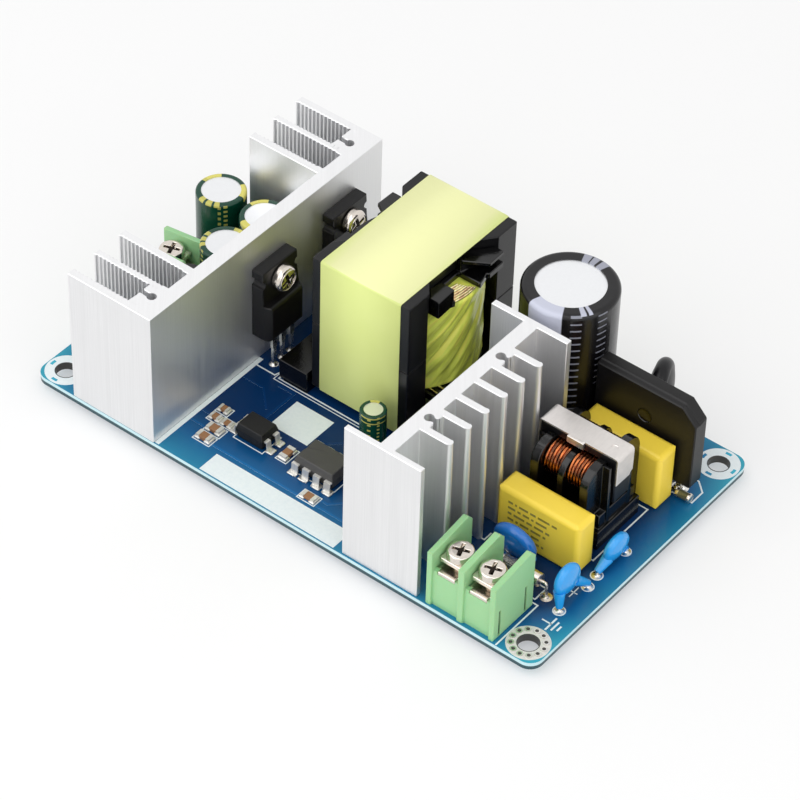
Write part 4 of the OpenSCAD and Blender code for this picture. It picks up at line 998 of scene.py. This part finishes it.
class SUPPLY_OT_glass_parts(Operator):
    """The fuse and the small diode, each a glass tube between metal ends"""

    bl_idname = "supply.glass_parts"
    bl_label = "Fuse and Glass Diode"

    def execute(self, context):
        nickel = plated("Plated end caps", context.scene.supply_terminals.nickel, 0.25)
        left, right = sorted(feet("fuse"), key=lambda foot: foot.x)
        start, end = self.tube("fuse", glass(linear("#e8e6e2")), nickel, 1.35, 0.22, 2.2,
                               left.x + 1.4 * MM, right.x - 1.4 * MM)
        # bent wires from the fuse's caps into the board
        along, down = Vector((MM, 0, 0)), Vector((0, 0, MM))
        runs = []
        for foot, cap, out in ((left, start, -along), (right, end, along)):
            bend = Vector((foot.x, foot.y, cap.z))
            runs.append((cap - out * 0.3, cap, cap + out * 0.8, (foot.x, cap.y, cap.z),
                         bend - down * 0.8, foot - down * 0.4))
        finish_piece("fuse_wires", wires(runs, 0.3), nickel)
        # the thin melting wire inside
        run = (start + along * 0.4, (start + end) / 2 - down * 0.2, end - along * 0.4)
        finish_piece("fuse_element", wires([run], 0.09), nickel)
        bm = bmesh.new()
        for foot in (left, right):
            joint(bm, foot, 0.34, 1.2, 0.4)
        finish_piece("fuse_solder", bm, nickel, sharp=50.0)
        dark = moulded("Dark diode glass", linear("#6b6a4c"), 0.1, 0.8, 0.01, 0.5, Coat_Weight=0.6,
                       Coat_Roughness=0.03)
        low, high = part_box("glass_diode")
        self.tube("glass_diode", dark, nickel, 0.95, 0.3, 0.6, low.x, high.x)
        return {"FINISHED"}

    def tube(self, node, clear, nickel, radius, wall, cap, x0, x1):
        """A tube between two caps along the top of a CAD node, and the ends of its axis."""
        low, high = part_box(node)
        start = Vector((x0, (low.y + high.y) / 2, high.z - radius * MM))
        place = Matrix.Translation(start) @ Matrix.Rotation(radians(90), 4, "Y")
        outer, tall = radius - 0.12, (x1 - x0) / MM
        bm = bmesh.new()
        ring(bm, Vector((0, 0, 0.3 * MM)), outer - wall, outer, tall - 0.6, 32)
        bm.transform(place)
        finish_piece(node + "_glass", bm, clear, (node,), 40.0)
        bm = bmesh.new()
        for base, way in ((0.0, 1), (tall, -1)):
            profile = ((0, 0), (radius * 0.8, 0), (radius * 0.95, 0.06), (radius, 0.2),
                       (radius, cap), (outer, cap), (outer - wall, 0.5), (0, 0.5))
            revolve(bm, [(r, base + way * z) for r, z in profile], Vector(), 32)
        bm.transform(place)
        finish_piece(node + "_caps", bm, nickel, (), 40.0)
        return start, Vector((x1, start.y, start.z))


CAMERA_PLACE = (0.3029, -0.3953, 0.4804)
CAMERA_TURN = (46.482, -1.326, 38.496)
CAMERA_LENS = 165.9


def seen_directly(m):
    """Over 0 for rays from the camera, a mirror or glass, and 0 for rays that light the object."""
    ray = add(m, "LightPath").node.outputs
    seen = add(m, "Math", ray["Is Camera Ray"], ray["Is Glossy Ray"], operation="ADD")
    return add(m, "Math", seen, ray["Is Transmission Ray"], operation="ADD")


class SUPPLY_OT_stage(Operator):
    """Floor, soft light and camera"""

    bl_idname = "supply.stage"
    bl_label = "Stage"

    def execute(self, context):
        s, scene = context.scene.supply_stage, context.scene
        bm = bmesh.new()
        bmesh.ops.create_grid(bm, x_segments=8, y_segments=8, size=6.0)
        mesh = bpy.data.meshes.new("floor")
        bm.to_mesh(mesh)
        bm.free()
        mesh.materials.append(self.paper(s))
        floor = bpy.data.objects.new("floor", mesh)
        scene.collection.objects.link(floor)

        world = bpy.data.worlds.new("Studio")
        world.use_nodes = True
        scene.world = world
        light = world.node_tree.nodes["Background"]
        light.inputs["Color"].default_value = s.sky
        strength = add(world, "MapRange", seen_directly(world), 0.0, 1.0, s.surround, 1.0)
        world.node_tree.links.new(strength, light.inputs["Strength"])

        for name, place, size, power in (
            ("key", (-0.28, -0.52, 0.62), 1.1, s.key),
            ("fill", (0.62, -0.22, 0.42), 0.9, s.fill),
        ):
            lamp = bpy.data.lights.new(name, "AREA")
            lamp.size = size
            lamp.energy = power
            holder = bpy.data.objects.new(name, lamp)
            holder.location = place
            holder.rotation_euler = Vector(place).to_track_quat("Z", "Y").to_euler()
            scene.collection.objects.link(holder)

        view = bpy.data.cameras.new("camera")
        view.lens = CAMERA_LENS
        view.sensor_width = 36.0
        view.clip_start, view.clip_end = 0.01, 20.0
        camera = bpy.data.objects.new("camera", view)
        camera.location = CAMERA_PLACE
        camera.rotation_euler = Euler([radians(a) for a in CAMERA_TURN])
        scene.collection.objects.link(camera)
        scene.camera = camera
        scene.view_settings.view_transform = "Standard"
        return {"FINISHED"}

    def paper(self, s):
        # Matt paper: the camera sees it nearly white, and it keeps the shadow.
        m, where = new_material("Matt paper", Roughness=0.9)
        fibre = add(m, "TexNoise", where, per(30.0), 2.0)
        surface(m, add(m, "Mix", fibre, s.floor, shade(s.floor, 0.985)))
        share = add(m, "Math", seen_directly(m), 0.4, operation="MULTIPLY", use_clamp=True)
        white = add(m, "Emission", (1, 1, 1, 1), 1.0)
        lit = m.node_tree.nodes["Principled BSDF"].outputs[0]
        m.node_tree.links.new(add(m, "MixShader", share, lit, white),
                              m.node_tree.nodes["Material Output"].inputs["Surface"])
        return m


class SUPPLY_PT_panel(Panel):
    """Buttons for each group of pieces"""

    bl_idname = "SUPPLY_PT_panel"
    bl_label = "Power Supply"
    bl_space_type = "VIEW_3D"
    bl_region_type = "UI"
    bl_category = "Power Supply"

    def draw(self, context):
        for operator in OPERATORS:
            self.layout.operator(operator.bl_idname)


OPERATORS = (SUPPLY_OT_board, SUPPLY_OT_heatsinks, SUPPLY_OT_transformer,
             SUPPLY_OT_electrolytics, SUPPLY_OT_film_and_disc, SUPPLY_OT_choke,
             SUPPLY_OT_terminals, SUPPLY_OT_semiconductors,
             SUPPLY_OT_glass_parts, SUPPLY_OT_stage)
SETTINGS = {
    "supply_board": BoardSettings, "supply_heatsinks": HeatsinkSettings,
    "supply_transformer": TransformerSettings, "supply_capacitors": CapacitorSettings,
    "supply_terminals": TerminalSettings, "supply_components": ComponentSettings,
    "supply_stage": StageSettings,
}
CLASSES = (*SETTINGS.values(), *OPERATORS, SUPPLY_PT_panel)


def register():
    for item in CLASSES:
        bpy.utils.register_class(item)
    for name, group in SETTINGS.items():
        setattr(bpy.types.Scene, name, PointerProperty(type=group))


def unregister():
    for name in SETTINGS:
        delattr(bpy.types.Scene, name)
    for item in reversed(CLASSES):
        bpy.utils.unregister_class(item)


def main():
    register()
    for operator in OPERATORS:
        group, name = operator.bl_idname.split(".")
        getattr(getattr(bpy.ops, group), name)()


if __name__ == "__main__":
    main()
